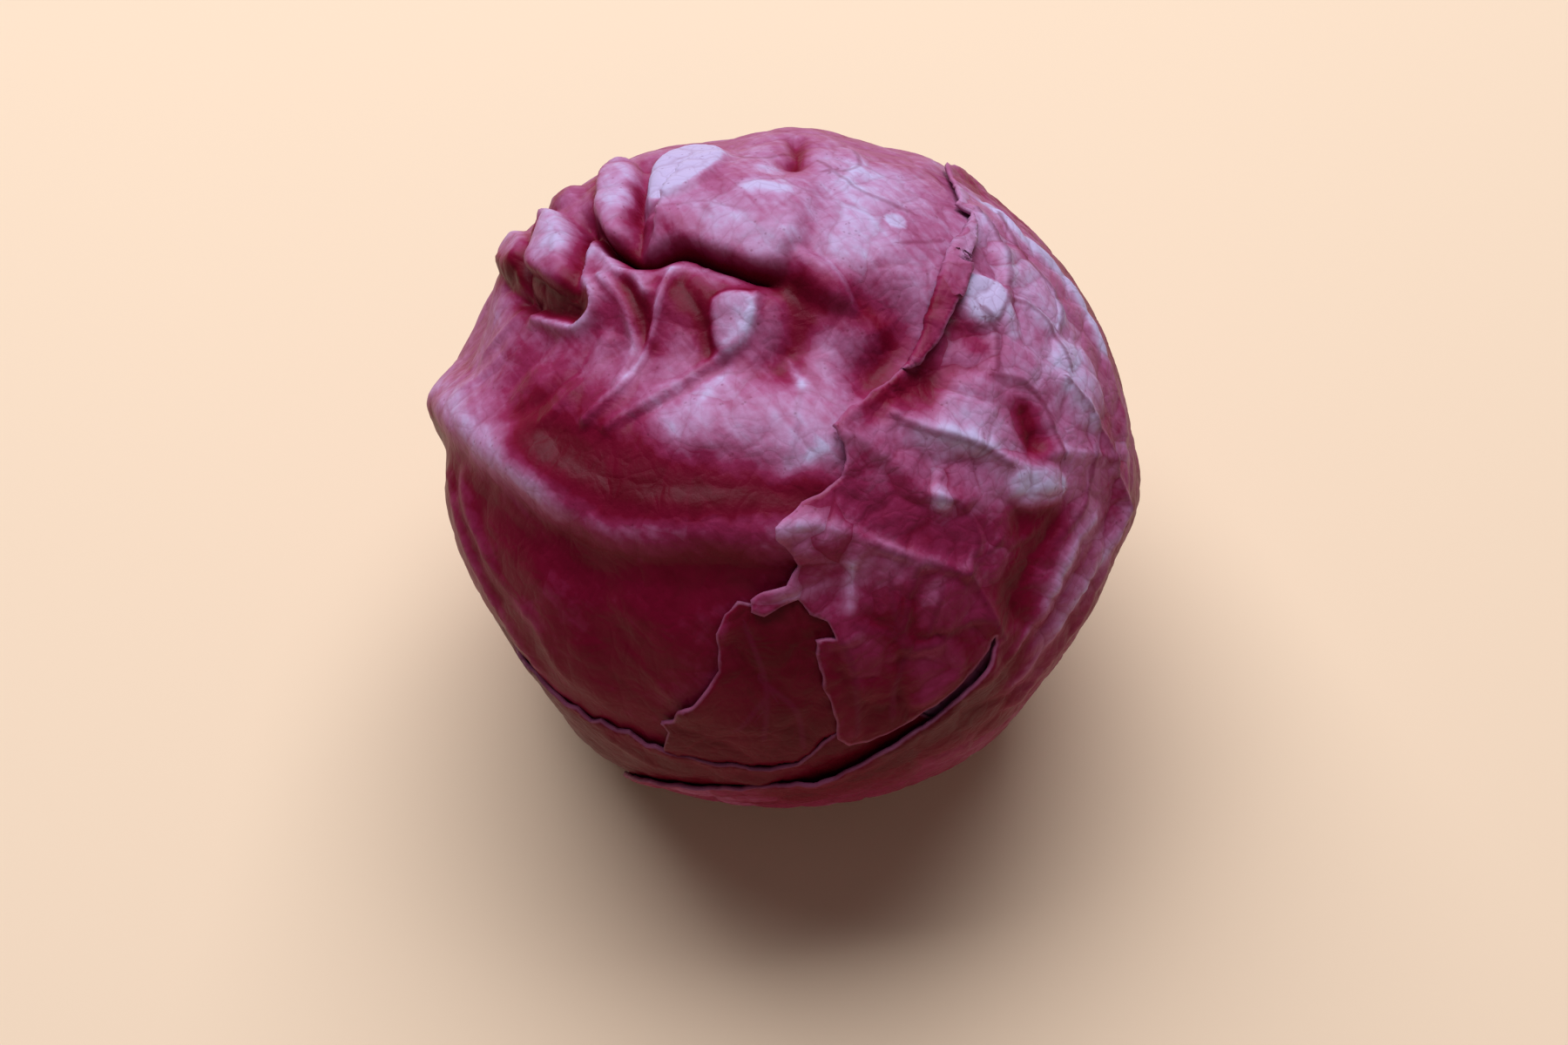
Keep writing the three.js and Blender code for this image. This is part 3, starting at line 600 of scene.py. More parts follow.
def ranged(tree, value, low, high, at_low, at_high, kind="LINEAR"):
    """What a value gives: at_low up to low, at_high from high on, and between them a rise."""
    inputs = {0: value, 1: low, 2: high, 3: at_low, 4: at_high}
    return node(tree, "ShaderNodeMapRange", inputs, interpolation_type=kind).outputs[0]


def noise(tree, vector, size, detail=3.0, distortion=0.0):
    """Soft noise between 0 and 1 with spots of about that size, in the vector's own unit."""
    inputs = {"Vector": vector, "Scale": 1 / size, "Detail": detail, "Distortion": distortion}
    return node(tree, "ShaderNodeTexNoise", inputs).outputs["Fac"]


# the skin from deep painted shade, maroon, through bare crimson to full bloom; the pale pink and lavender
# end is also a painted sheen of the sky light on the wax
MAROON = (0.095, 0.0012, 0.008)
CRIMSON = (0.15, 0.002, 0.018)
MAGENTA = (0.23, 0.016, 0.064)
MAUVE = (0.35, 0.095, 0.20)
PINK = (0.43, 0.21, 0.36)
LAVENDER = (0.47, 0.36, 0.54)
BLOOM_AND_SHADING = [(0.0, MAROON), (0.3, CRIMSON), (0.5, MAGENTA), (0.7, MAUVE), (0.85, PINK), (1.0, LAVENDER)]
VEIN_RED = (0.14, 0.006, 0.03)
RIM_PINK = (0.42, 0.14, 0.27)
PATCHES, SMEARS, SPOTS, BREAKS, PORES = 0.014, 0.0022, 0.004, 0.011, 0.0009  # sizes in m
STREAK = (0.045, 0.42, 1)  # streaks are long one way and narrow the other
SMALL_CELLS = 0.3  # of the size of the cells that they divide
SPECKS_PER_M = 700.0


def varied(tree, value, part, amount):
    """A value moved up and down by a part that lies between 0 and 1."""
    return math_node(tree, "MULTIPLY_ADD", math_node(tree, "SUBTRACT", part, 0.5), amount, value)


def leaf_paint(
    name, cells, net_strength, streak_turn, streaks=0.2, mottle=0.36, facets=0.1, vein_strength=0.7
):
    """Red cabbage: crimson skin under a rubbed, waxy bloom, with crimson veins and a pale torn rim. Its tint
    also carries painted shade and a painted sheen: darker where a leaf lies away from the light, lavender
    where it faces it.

    The cells of the net are in mm and the turn of the streaks in degrees; the rest are shares.
    """
    paint = bpy.data.materials.new(name)
    paint.use_nodes = True
    tree = paint.node_tree
    shader = tree.nodes["Principled BSDF"]
    place = node(tree, "ShaderNodeTexCoord").outputs["Object"]

    def field(attribute, output="Fac"):
        return node(tree, "ShaderNodeAttribute", attribute_name=attribute).outputs[output]

    # the bloom and painted light: patches, smears and streaks, painted lighter on crests and darker in
    # hollows, and a little panel by panel
    leaf_map = field("leaf_map", "Vector")
    smears = noise(tree, place, SMEARS, 5.0, 0.2)
    turn = {"Vector": leaf_map, "Rotation": (0, 0, math.radians(streak_turn)), "Scale": STREAK}
    turned = node(tree, "ShaderNodeMapping", turn).outputs[0]
    bloom_and_shading = varied(tree, field("tint"), noise(tree, place, PATCHES, 4.0, 0.6), mottle)
    bloom_and_shading = varied(tree, bloom_and_shading, smears, 0.28)
    bloom_and_shading = varied(tree, bloom_and_shading, noise(tree, turned, 1.0, 2.0, 0.4), streaks)
    # painted light and shade: crests lighter, hollows darker
    bloom_and_shading = math_node(tree, "MULTIPLY_ADD", field("crest"), 0.08, bloom_and_shading)
    panels = net_cells(tree, leaf_map, cells)
    panel = node(tree, "ShaderNodeTexVoronoi", panels, voronoi_dimensions="2D").outputs["Color"]
    bloom_and_shading = varied(tree, bloom_and_shading, node(tree, "ShaderNodeSeparateColor", {0: panel}).outputs[0], facets)
    colour = ramp(tree, bloom_and_shading, BLOOM_AND_SHADING)

    # the net of small veins, the veins drawn one by one, the specks and the rim
    for size, wide, strength in (
        (cells, 0.08, net_strength),
        (cells * SMALL_CELLS, 0.1, net_strength * 0.6),
    ):
        line = ranged(tree, net_distance(tree, leaf_map, size), 0.0, wide, strength, 0.0, "SMOOTHSTEP")
        broken = math_node(tree, "MULTIPLY", line, noise(tree, place, BREAKS, 2.0), clamp=True)
        colour = mixed(tree, broken, colour, (*CRIMSON, 1))
    middle = math_node(tree, "ABSOLUTE", field("vein_side"))
    vein = ranged(tree, middle, 0.1, 0.9, vein_strength, 0.0, "SMOOTHSTEP")
    past_end = ranged(tree, field("vein_away"), 1.0, 1.6, 1.0, 0.0)
    colour = mixed(tree, math_node(tree, "MULTIPLY", vein, past_end), colour, (*VEIN_RED, 1))
    speck = node(tree, "ShaderNodeTexVoronoi", {"Vector": place, "Scale": SPECKS_PER_M})
    specks = ranged(tree, speck.outputs["Distance"], 0.10, 0.24, 0.35, 0.0)
    few = math_node(tree, "GREATER_THAN", noise(tree, place, SPOTS, 2.0), 0.56)
    colour = mixed(tree, math_node(tree, "MULTIPLY", specks, few), colour, (*MAROON, 1))
    rim = ranged(tree, field("margin_away"), 0.15, 0.55, 0.4, 0.0)
    tree.links.new(mixed(tree, rim, colour, (*RIM_PINK, 1)), shader.inputs["Base Color"])

    # the finish: waxy where it is bare, dull under the bloom, with fine pores
    waxy = ranged(tree, bloom_and_shading, 0.2, 1.0, 0.34, 0.48)
    tree.links.new(math_node(tree, "MULTIPLY_ADD", smears, 0.16, waxy), shader.inputs["Roughness"])
    shader.inputs["Coat Weight"].default_value = 0.03
    shader.inputs["Coat Roughness"].default_value = 0.16
    shader.inputs["Specular IOR Level"].default_value = 0.075
    small_net = net_distance(tree, leaf_map, cells * SMALL_CELLS)
    sunk = math_node(tree, "MULTIPLY", small_net, 4.0, clamp=True)
    grain = math_node(tree, "MULTIPLY_ADD", sunk, 0.6, noise(tree, place, PORES, 3.0))
    bump = node(tree, "ShaderNodeBump", {"Strength": 0.35, "Distance": 0.00025, "Height": grain})
    tree.links.new(bump.outputs[0], shader.inputs["Normal"])
    return paint


FINE = 0.6  # degrees between the corners of a mesh
COARSE = 2.4


def lay(
    leaf, paint, seed, tint, net, veins=(), turn_over=None, crumpled=None, fine=FINE, coarse=COARSE
):
    """Cuts, raises and thickens a leaf, and gives it to the frame in place of its solid."""
    mesh = leaf.mesh(fine, coarse, seed, tint, veins, turn_over, crumpled)
    piece = bpy.data.objects.new(leaf.name + "_blade", mesh)
    scene.collection.objects.link(piece)
    mesh.materials.append(paint)
    raised = piece.modifiers.new("small_veins", "NODES")
    raised.node_group = net_tree
    items = net_tree.interface.items_tree
    sockets = {item.name: item.identifier for item in items if item.in_out == "INPUT"}
    for (size, tall), (cell, height) in zip(NET_SIZES, net):
        raised[sockets[size]] = cell
        raised[sockets[tall]] = height / 1000
    raised[sockets["Material"]] = paint
    thick = piece.modifiers.new("blade", "SOLIDIFY")
    thick.thickness = BLADE / 1000
    thick.offset = -1.0
    done = bpy.data.meshes.new_from_object(piece.evaluated_get(bpy.context.evaluated_depsgraph_get()))
    piece.modifiers.clear()
    piece.data = done
    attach(piece, "root")
    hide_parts(leaf.name)


BACK_SPACING = 1.1  # degrees between the corners of its mesh, the same all over
BACK_CELLS = 9.0
back_folds = folds(
    around,
    ([(176, -66), (174, -40), (176, -10), (179, 12)], 3, 2),
    ([(176, -12), (160, 4), (146, 22)], 2.2, 1.4),
    ([(176, 0), (163, 18), (156, 30)], 2.2, 1.3),
    ([(175, -26), (154, -14), (138, 2)], 2.2, 1.3),
    ([(175, -18), (-168, -2), (-152, 18)], 2.2, 1.4),
    ([(176, -4), (-172, 14), (-164, 29)], 2.2, 1.3),
    ([(174, -34), (-164, -20), (-144, -4)], 2.2, 1.2),
    ([(150, -6), (164, 12)], 5, -1.2),
    ([(-150, 2), (-162, 20)], 5, -1.2),
    ([(150, -40), (120, -30)], 8, -1.4),
    ([(-120, -20), (-105, 10)], 2.2, 1.2),
    ([(-100, -30), (-92, -8)], 2.4, 1),
    ([(100, -40), (98, -12), (104, 14)], 2.4, 1.2),
)
back_leaf = Leaf(
    "back_leaf",
    [
        base(112, 236),
        around([(-122, -58), (-117, -36), (-112, -14), (-115, -5), (-114, 1), (-121, 6), (-127, 8)]),
        around([(-138, 13), (-148, 13), (-160, 18), (-174, 17), (176, 20), (164, 17), (152, 14)]),
        around([(140, 10), (131, 9), (120, 4), (117, -1), (111, -8), (112, -22), (109, -40), (110, -58)]),
    ],
    middle=around([(175, -10)]), at_margin=1.6, within=0.7, relief=back_folds,
)
back_tints = folds(
    around,
    ([(176, -66), (174, -40), (176, -10), (180, 22)], 2.6, 0.3),
    ([(150, 12), (130, -10)], 12, 0.14),
    ([(-150, 18), (-130, -5)], 12, 0.14),
    ([(176, -60)], 22, -0.14),
)
back_skin = leaf_paint("back_leaf_skin", cells=BACK_CELLS, net_strength=0.5, streak_turn=90)
lay(
    back_leaf, back_skin, seed=21,
    tint=lambda directions: 0.52 + back_tints(directions),
    net=[(BACK_CELLS, 0.7), (2.6, 0.12)],
    fine=BACK_SPACING, coarse=BACK_SPACING,
)


# Right leaf. A netted, quilted leaf over the right side. Its left margin is torn, folded
# back in one stretch, and a tear at the lower front leaves a strip that stands off.
RIGHT_CELLS = 8.5
right_folds = folds(
    seen,
    ([(17, 7), (21, 5), (26, 4), (31, 2), (35, 0), (38, -1), (45, 1), (52, 1), (59, 0)], 1.5, 1.22),
    ([(49, 12), (57, 3), (62, -5), (66, -10)], 1.6, 1.01),
    ([(48, 44), (48, 36), (45, 30), (42, 26), (40, 23)], 1.3, 0.65),
    ([(9, 4), (14, 1), (18, -2), (21, -5), (30, -6)], 1.4, 0.86),
    ([(-1, -9), (4, -9), (9, -10), (13, -12), (19, -14), (23, -15), (28, -16)], 1.5, 1.15),
    ([(11, -13), (10, -16), (10, -20), (9, -26)], 1.3, 0.86),
    ([(20, -15), (19, -20), (19, -27)], 1.1, 0.5),
    ([(28, -16), (30, -18), (34, -23), (37, -26)], 1.2, 0.5),
    ([(40, 7), (41, 2)], 2.4, -1.58),
    ([(28, 24), (33, 21), (35, 19)], 3, -1.08),
    ([(14, 8), (20, 11), (25, 13)], 2.6, -1.15),
    ([(22, 0), (30, -1)], 2.2, -0.86),
    ([(38, -9), (44, -9), (40, -15), (38, -21)], 3.2, -1.22),
    ([(42, -4)], 3, 0.86),
    ([(44, 14)], 3.5, 0.72),
    ([(56, 12)], 4, 0.72),
    ([(6, -3), (10, -6)], 2.2, -0.65),
    ([(13, -16), (14, -21)], 2.2, -0.72),
    ([(24, -20), (25, -24)], 3.2, 0.65),
    ([(60, 46), (59, 39), (64, 33), (66, 26), (66, 18), (66, 5), (60, -18), (50, -38)], 2.2, 1.08),
    ([(64, -7), (61, -12), (55, -18), (50, -26), (45, -35)], 1.2, 0.8),
    ([(54, -9), (49, -13), (46, -20), (41, -28), (37, -33)], 1.1, 0.7),
    ([(59, -9), (52, -16), (46, -26)], 1.6, -0.65),
)
right_pads = pads(
    seen,
    ([(35, 30), (42, 29), (40, 24), (37, 22), (33, 23), (32, 26)], 1.65, 0.93),
    ([(41, 25), (43, 23), (42, 19), (39, 20)], 1.2, 0.5),
    ([(46, 36), (54, 34), (57, 24), (50, 20), (45, 25)], 3, 0.62),
    ([(47, 16), (56, 18), (59, 8), (51, 5)], 3, 0.68),
    ([(24, 3), (33, 1), (34, 12), (27, 12)], 3, 0.62),
    ([(36, -2), (45, -1), (46, -6), (37, -7)], 1.35, 0.62),
    ([(22, -4), (25, -4), (25, -7), (22, -7)], 0.9, 0.56),
    ([(11, -24), (18, -27), (19, -36), (14, -36), (9, -28)], 1.8, 0.68),
    ([(20, -28), (27, -26), (31, -31), (25, -37), (21, -36)], 1.95, 0.81),
    ([(22, -17), (28, -18), (32, -23), (21, -25)], 1.65, 0.5),
    ([(12, -14), (18, -16), (17, -23), (12, -21)], 1.5, 0.5),
    ([(47, -14), (58, -12), (52, -24), (44, -30)], 3, 0.62),
)
right_stand_off = folds(
    seen,
    ([(36, -32), (29, -41), (18, -50), (8, -54)], 4, 1.2),
    ([(-1, -9.5)], 3, 1.2),
    ([(-4, -20.5), (2, -18)], 2.5, 1.3),
    ([(8, 5), (16, 11), (22, 16)], 2.2, 0.9),
)
FOLDED_LINE = smoothed(
    seen([(46, 43), (40, 38.5), (34, 35), (31, 31), (28, 27), (25, 21), (22, 16), (20, 14)])
)
BEND = 0.45  # mm, radius of the fold
FLAP_RISE = 0.06  # mm that the folded strip stands off for each mm of its width


def fold_back(directions, points):
    """Turns what lies beyond the folded line over, back onto the leaf."""
    spot = nearest(FOLDED_LINE, directions)
    within = (spot.along > 0.01) & (spot.along < spot.length - 0.01)
    beyond = within & (spot.side < 0) & (spot.away < 9)
    out = (directions - spot.foot)[beyond]
    out = out / np.maximum(np.linalg.norm(out, axis=1), 1e-9)[:, None]
    width = spot.away[beyond] * MM_PER_DEGREE
    turning = np.minimum(width / BEND, math.pi)
    across = BEND * np.sin(turning) - np.maximum(width - math.pi * BEND, 0)
    up = BEND * (1 - np.cos(turning)) + FLAP_RISE * width
    reach = np.linalg.norm(points[beyond] - CENTRE, axis=1)
    folded = points.copy()
    folded[beyond] = CENTRE + spot.foot[beyond] * (reach + up)[:, None] + out * across[:, None]
    return folded


RIGHT_VEINS = [
    [(20, -15), (19, -20), (19, -27)],
    [(11, -24), (17, -25.5), (20, -28), (19, -34), (20, -39)],
    [(20, -27.5), (25, -26.5), (30, -23.5), (34, -23)],
    [(9, -26), (11, -30), (13, -37), (14, -42)],
    [(28, -16), (30, -18), (34, -23), (37, -26)],
    [(13, -12), (19, -14), (23, -15), (28, -16), (34, -12)],
    [(48, 44), (48, 36), (45, 30), (42, 26), (40, 24), (37, 21.5), (33, 22)],
    [(42, 26), (46, 25), (50, 21), (51, 14)],
    [(49, 12), (57, 3), (62, -5), (66, -10)],
    [(17, 6.5), (21, 4.5), (26, 3.3), (31, 1.5), (35, -0.7)],
    [(21, -5), (27, -7), (30, -12), (28, -16)],
    [(16, -17), (17, -22), (20, -27)],
    [(24, -18), (23, -25)],
    [(46, 1), (44, 8), (40, 12), (35, 13)],
    [(58, 44), (54, 36), (56, 26), (52, 20)],
    [(36, 14), (38, 20), (36, 24)],
    [(54, 2), (52, -6), (46, -12)],
]
right_ribs = folds(seen, *[(line, 0.7, 0.4) for line in RIGHT_VEINS])
right_leaf = Leaf(
    "right_leaf",
    [
        seen([(63, 58), (58, 55), (51, 51), (47, 47.5), (44, 46), (46, 43), (39, 41), (31, 38.5), (27, 35)]),
        seen([(24, 30), (22.5, 24.5), (20.5, 18.5), (19.5, 14.5), (17, 12.5), (12, 9), (7, 5), (8.5, 2.5)]),
        seen([(9, 0), (8.5, -2.5), (5, -5), (2.5, -6), (-1, -9), (-1, -10.5), (1.5, -13), (2.2, -15)]),
        seen([(0.5, -18), (-3, -19), (-5, -20), (-5, -21.7), (-3, -22.3), (2, -20.3), (4, -22.3)]),
        seen([(6.5, -23.3), (8, -25.5), (5, -26), (5.5, -29), (7, -34), (9.5, -39.5), (10.5, -43)]),
        seen([(13, -44.5), (16.5, -44), (20, -42.4), (24, -39.6), (28, -36), (31.6, -32.4), (34, -29)]),
        seen([(35.2, -25.6), (36, -27), (35.5, -30), (33.5, -33.7), (30, -37.3), (26, -41.2), (22, -44.4)]),
        seen([(17.5, -48), (12.5, -51), (8, -53.2), (2, -54.6), (-8, -56.6), (-20, -58)]),
        around([(-25, -16), (-30, -26), (-28, -45), (-26, -60)]),
        base(-24, 122),
        around([(124, -58), (128, -38), (133, -14), (137, 8), (140, 30), (139, 44)]),
    ],
    middle=seen([(48, -4)]), at_margin=1.6, within=0.5,
    relief=together(right_folds, right_pads, right_ribs), stand_off=right_stand_off,
)
# the right leaf's own bloom and crimson, darker towards the bottom, with painted shade in the dents and
# painted highlights on the ribs and the right-hand rim
right_tints_and_shade = folds(
    seen,
    ([(46, 44), (50, 8)], 17, 0.24),
    ([(14, -32), (36, -36)], 12, -0.27),
    ([(36, 28), (39, 26), (36, 24)], 3, 0.3),
    ([(41, 23), (41, 20)], 1.4, 0.2),
    ([(28, 24), (33, 21), (34, 18)], 2.6, -0.2),
    ([(40, 7), (41, 2)], 2.6, -0.45),
    ([(38, -4), (45, -4)], 2.2, 0.18),
    ([(38, -9), (44, -9), (40, -15), (38, -21)], 3.5, -0.3),
    ([(23, -6)], 1.3, 0.25),
    ([(-1, -9), (4, -9), (8, -10)], 1.3, 0.2),
    ([(14, -12), (22, -15)], 1.5, 0.15),
    ([(14, 8), (20, 12), (24, 13)], 2.6, -0.2),
    ([(22, 4), (28, 6)], 3, 0.12),
    ([(60, 46), (59, 39), (64, 33), (66, 26), (66, 18)], 1.8, 0.5),
    ([(64, -7), (61, -12), (55, -18), (50, -26), (45, -35)], 1.4, 0.22),
    ([(54, -9), (49, -13), (46, -20), (41, -28)], 1.2, 0.22),
    ([(34, -40), (20, -52), (5, -58)], 6, -0.34),
    ([(0, -20), (6, -18)], 1.6, 0.25),
    ([(10, -15), (10, -21)], 1.1, 0.35),
    ([(14, -26), (15, -34)], 3, 0.12),
    ([(24, -30), (26, -34)], 3.2, 0.14),
    ([(14, 6), (22, 2), (30, -1), (38, -4)], 5, 0.2),
    ([(22, -12), (34, -14)], 5, -0.05),
    ([(20, -40), (30, -50)], 14, -0.1),
)
right_skin = leaf_paint(
    "right_leaf_skin", cells=RIGHT_CELLS, net_strength=0.5, streak_turn=60, facets=0.16,
    vein_strength=0.55,
)
lay(
    right_leaf, right_skin, seed=5,
    # raised pads painted lighter: a painted highlight on their tops
    tint=lambda directions: 0.50 + right_tints_and_shade(directions) + 0.18 * right_pads(directions),
    net=[(RIGHT_CELLS, 0.55), (2.5, 0.12)], veins=RIGHT_VEINS, turn_over=fold_back,
)


# Lower leaf. A short leaf round the lower left and the lower front, trimmed by hand, so
# that its upper margin is ragged; it shows as a strip between the front leaf and the tear.
LOWER_CELLS = 10.0
lower_folds = folds(
    seen,
    ([(-39, -46), (-30, -54)], 2, 0.8),
    ([(-14, -54), (-4, -56)], 2, 0.7),
)
lower_leaf = Leaf(
    "lower_leaf",
    [
        seen([(-52, -34), (-50, -37), (-47, -39.3), (-44, -39.8), (-42, -42), (-39, -41.8), (-36, -43.8)]),
        seen([(-33, -43.6), (-30.5, -46.3), (-28, -46.2), (-24, -48.6), (-21, -49), (-16, -50.7)]),
        seen([(-12, -50.3), (-8, -51.6), (-3, -51.6), (3, -50.2)]),
        seen([(5.5, -48), (8, -45), (12, -42), (22, -38), (34, -42)]),
        around([(40, -12), (42, -36), (40, -58)]),
        base(38, -84),
        around([(-86, -56), (-78, -34), (-70, -20), (-60, -10)]),
    ],
    middle=around([(-15, -30)]), at_margin=0.9, within=0.4, relief=lower_folds,
    stand_off=folds(seen, ([(-28, -47)], 5, 0.5)),
)
# painted highlight along the upper margin, which faces up to the light
lower_margin_highlight = folds(
    seen,
    ([(-50, -37), (-40, -43), (-30, -47), (-14, -52), (3, -51)], 1.0, 0.2),
)
lower_skin = leaf_paint("lower_leaf_skin", cells=LOWER_CELLS, net_strength=0.4, streak_turn=0)
lay(
    lower_leaf, lower_skin, seed=9,
    # a low tint: the leaf's own dark crimson, darkened further as painted shade, since the lower front faces
    # away from the light
    tint=lambda directions: 0.04 + lower_margin_highlight(directions),
    net=[(LOWER_CELLS, 0.3), (2.6, 0.08)],
)


# Front leaf. A smooth leaf at the lower middle, over the crown leaf and under the torn
# flap of the right leaf; its left margin stands off in a slit at the bottom.
FRONT_CELLS = 9.0
front_folds = folds(
    seen,
    ([(-8, -27), (-4, -33)], 2.2, -0.9),
    ([(-8, -22), (-10, -26)], 1.3, 0.9),
    ([(-14, -38), (-6, -42)], 4, 0.7),
    ([(-2, -28), (0, -38)], 3, 0.6),
)
front_leaf = Leaf(
    "front_leaf",
    [
        seen([(-5, -21), (-7, -20.5), (-9, -22), (-10.5, -25), (-10.5, -29), (-10.3, -31), (-13, -34)]),
        seen([(-16, -36.5), (-19, -38), (-21, -40.2), (-24, -40.8), (-23, -42.5), (-26, -46), (-29, -52)]),
        around([(-24, -20), (-22, -45), (-20, -60)]),
        base(-18, 24),
        around([(26, -58), (28, -30), (26, -6)]),
        seen([(24, -40), (20, -30), (14, -22), (6, -18), (-2, -20)]),
    ],
    middle=around([(0, -10)]), at_margin=1.4, within=0.3, relief=front_folds,
    stand_off=folds(seen, ([(-12, -33), (-18, -38)], 2.5, 0.9)),
)
front_tints = folds(
    seen,
    ([(-9, -22), (-10, -28)], 1.2, 0.25),
    ([(-11, -37), (-5, -36)], 3, 0.12),
    ([(-2, -32), (0, -46)], 5, -0.08),
)
FRONT_VEINS = [
    [(-6, -24), (-3, -34), (-4, -44)],
    [(-4, -33), (2, -38), (4, -46)],
    [(-3, -36), (-9, -42)],
]
front_skin = leaf_paint("front_leaf_skin", cells=FRONT_CELLS, net_strength=0.55, streak_turn=20)
lay(
    front_leaf, front_skin, seed=13,
    # a low tint: the leaf's own dark crimson, darkened further as painted shade, since the lower front faces
    # away from the light
    tint=lambda directions: 0.12 + front_tints(directions),
    net=[(FRONT_CELLS, 0.4), (2.6, 0.08)], veins=FRONT_VEINS,
)


# Crown leaf. The big leaf over the top, the left side and the front left. It crumpled as
# it grew: lumps at the upper left, a flap over a deep crevice, pleats that run down from it.
CROWN_CELLS = 12.0
LUMP_ROUND = [
    (-60, 34.5), (-66, 39.5), (-70, 44.5), (-58, 43), (-51, 39.5), (-46, 34.5), (-41, 29.5),
    (-46, 30), (-54, 32),
]
LUMP_BEHIND = [
    (-47, 43), (-52, 47.5), (-64, 55), (-62, 59), (-50, 58), (-42, 50.5), (-37, 44),
    (-33.5, 39.5), (-37, 39), (-43, 41),
]
crown_pads = pads(
    seen,
    ([(-82, 35), (-84, 40), (-74, 40), (-66, 38.5), (-63, 36), (-64, 33), (-72, 32.5)], 2.4, 2.4),
    (LUMP_ROUND, 2.2, 3.3),
    (LUMP_BEHIND, 2.2, 2.9),
    ([(-38, 49), (-46, 58), (-50, 67), (-34, 69), (-20, 61), (-21, 50), (-27, 45.5), (-34, 45.5)], 2.4, 1.5),
    ([(-13, 27), (-9, 28.5), (-5, 27), (-6, 22), (-8, 19), (-11, 18), (-13, 21)], 2.0, 1.3),
    ([(3, 35), (9, 32), (13, 25.5), (8, 26), (3, 30)], 3.0, 2.2),
    ([(-80, 47), (-70, 46), (-66, 49), (-74, 52)], 3, 1.8),
)
HOOKED_FOLD = [
    (-44, 39), (-44, 36), (-42, 32), (-38, 28.5), (-37, 25), (-40, 22.5), (-44, 22.5), (-52, 24),
]
crown_folds = folds(
    seen,
    ([(-56, 44), (-48, 40), (-44, 34), (-42, 30)], 1.5, -3.0),
    ([(-66, 42), (-60, 35), (-59, 30), (-56, 27)], 1.3, -1.6),
    ([(-54, 59), (-44, 53), (-38, 47), (-34, 42), (-31, 38)], 1.6, -2.8),
    ([(-55, 45), (-48, 41)], 2, -2.5),
    ([(-60, 28), (-52, 26.5), (-42, 25)], 2.2, -2.4),
    ([(-68, 30), (-60, 28)], 2, -1.6),
    (HOOKED_FOLD, 1.2, 2.0),
    ([(-64, 33), (-58, 25), (-66, 18)], 1.6, 1.0),
    ([(-42, 37), (-38, 35), (-33, 32), (-29, 31), (-26, 28)], 1.3, 1.8),
    ([(-37, 31), (-31, 27), (-28, 22), (-27, 18), (-28, 13)], 1.1, 1.3),
    ([(-30, 29), (-27, 25), (-25, 19), (-26, 14)], 2.2, -1.2),
    ([(-22, 32), (-23, 26), (-24.5, 19), (-27, 12), (-32, 6)], 0.9, 1.5),
    ([(-20, 30), (-16, 26), (-14, 22), (-13, 17)], 2.2, -1.2),
    ([(-5, 28), (-6, 22), (-8, 19), (-12, 17), (-18, 12), (-28, 5)], 0.9, 1.0),
    ([(-10, 16), (-17, 10), (-24, 6)], 1.2, -0.8),
    ([(-36, 22), (-38, 14), (-44, 8)], 1.6, -0.9),
    ([(-33, 20), (-35, 12), (-41, 5)], 1.2, 0.7),
    ([(-46, 20), (-52, 12)], 2.2, -0.9),
    ([(-56, 20), (-64, 12)], 2, 0.7),
    ([(1, 29), (2, 22), (-1, 15)], 3.4, -2.0),
    ([(17, 27), (22, 24), (20, 18), (14, 13)], 4.4, -2.4),
    ([(3, 13), (1.5, 6), (0.6, 0)], 0.6, 0.5),
    ([(-31, 43.5), (-25, 42), (-20, 39.5), (-14, 37), (-8, 34)], 2.4, 1.0),
    ([(7, 72), (5, 64), (3, 60)], 1.6, -2.0),
    ([(3, 60), (-2, 55)], 2.6, -0.6),
    ([(-5, 48), (3, 40)], 7, 1.2),
    ([(22, 44), (18, 34)], 7, 0.9),
    ([(30, 66), (24, 58), (16, 52)], 1.6, 0.5),
    ([(12, 60), (18, 50), (28, 46)], 1.8, 0.5),
    ([(-66, -2), (-62, -8), (-57, -18), (-50, -32)], 1.6, 1.0),
    ([(-60, -3), (-57, -8), (-51, -17), (-44, -25), (-42, -33)], 1.7, 1.0),
    ([(-63, -4), (-59, -11), (-53, -22)], 1.3, -0.8),
    ([(-55, -9), (-48, -20)], 1.4, -0.7),
    ([(-40, -16), (-36, -36)], 4, 0.8),
    ([(-27, -29), (-20, -36)], 0.8, 0.45),
    ([(-20, -22), (-15, -36)], 5, 0.7),
    ([(-34, -10), (-30, -26)], 5, -0.7),
)
CREVICE = [
    (-47, 42), (-42, 39), (-37, 37), (-32, 35.6), (-27, 35.6), (-21, 37), (-13, 34.8),
    (-6, 32.2), (2, 30),
]
FLAP_RIM = [(-32, 36.4), (-27, 36), (-21, 37.2), (-13, 34.8), (-6, 32.2), (3, 30)]
crevice_step = steps(
    seen,
    (CREVICE, [(-8, 0), (-4, -0.6), (-1.6, -2.4), (-0.2, -5.6), (1.0, -5.6), (2.0, -1.2), (3.0, 0)], 7),
    (FLAP_RIM, [(0.4, 0), (1.6, 0.9), (4.6, 2.4), (6.6, 2.8), (14, 2.0), (27, 0)], 5),
)
crown_lean = overhangs(
    seen,
    (CREVICE, 2.6, 1.8, 1.9, 8),
    ([(-60, 32), (-52, 29.5), (-44, 26.5), (-39, 25.5)], 3.0, 1.8, 1.5, 4),
    ([(-72, 30.5), (-64, 29)], 2.6, 1.6, 1.2, 3),
)
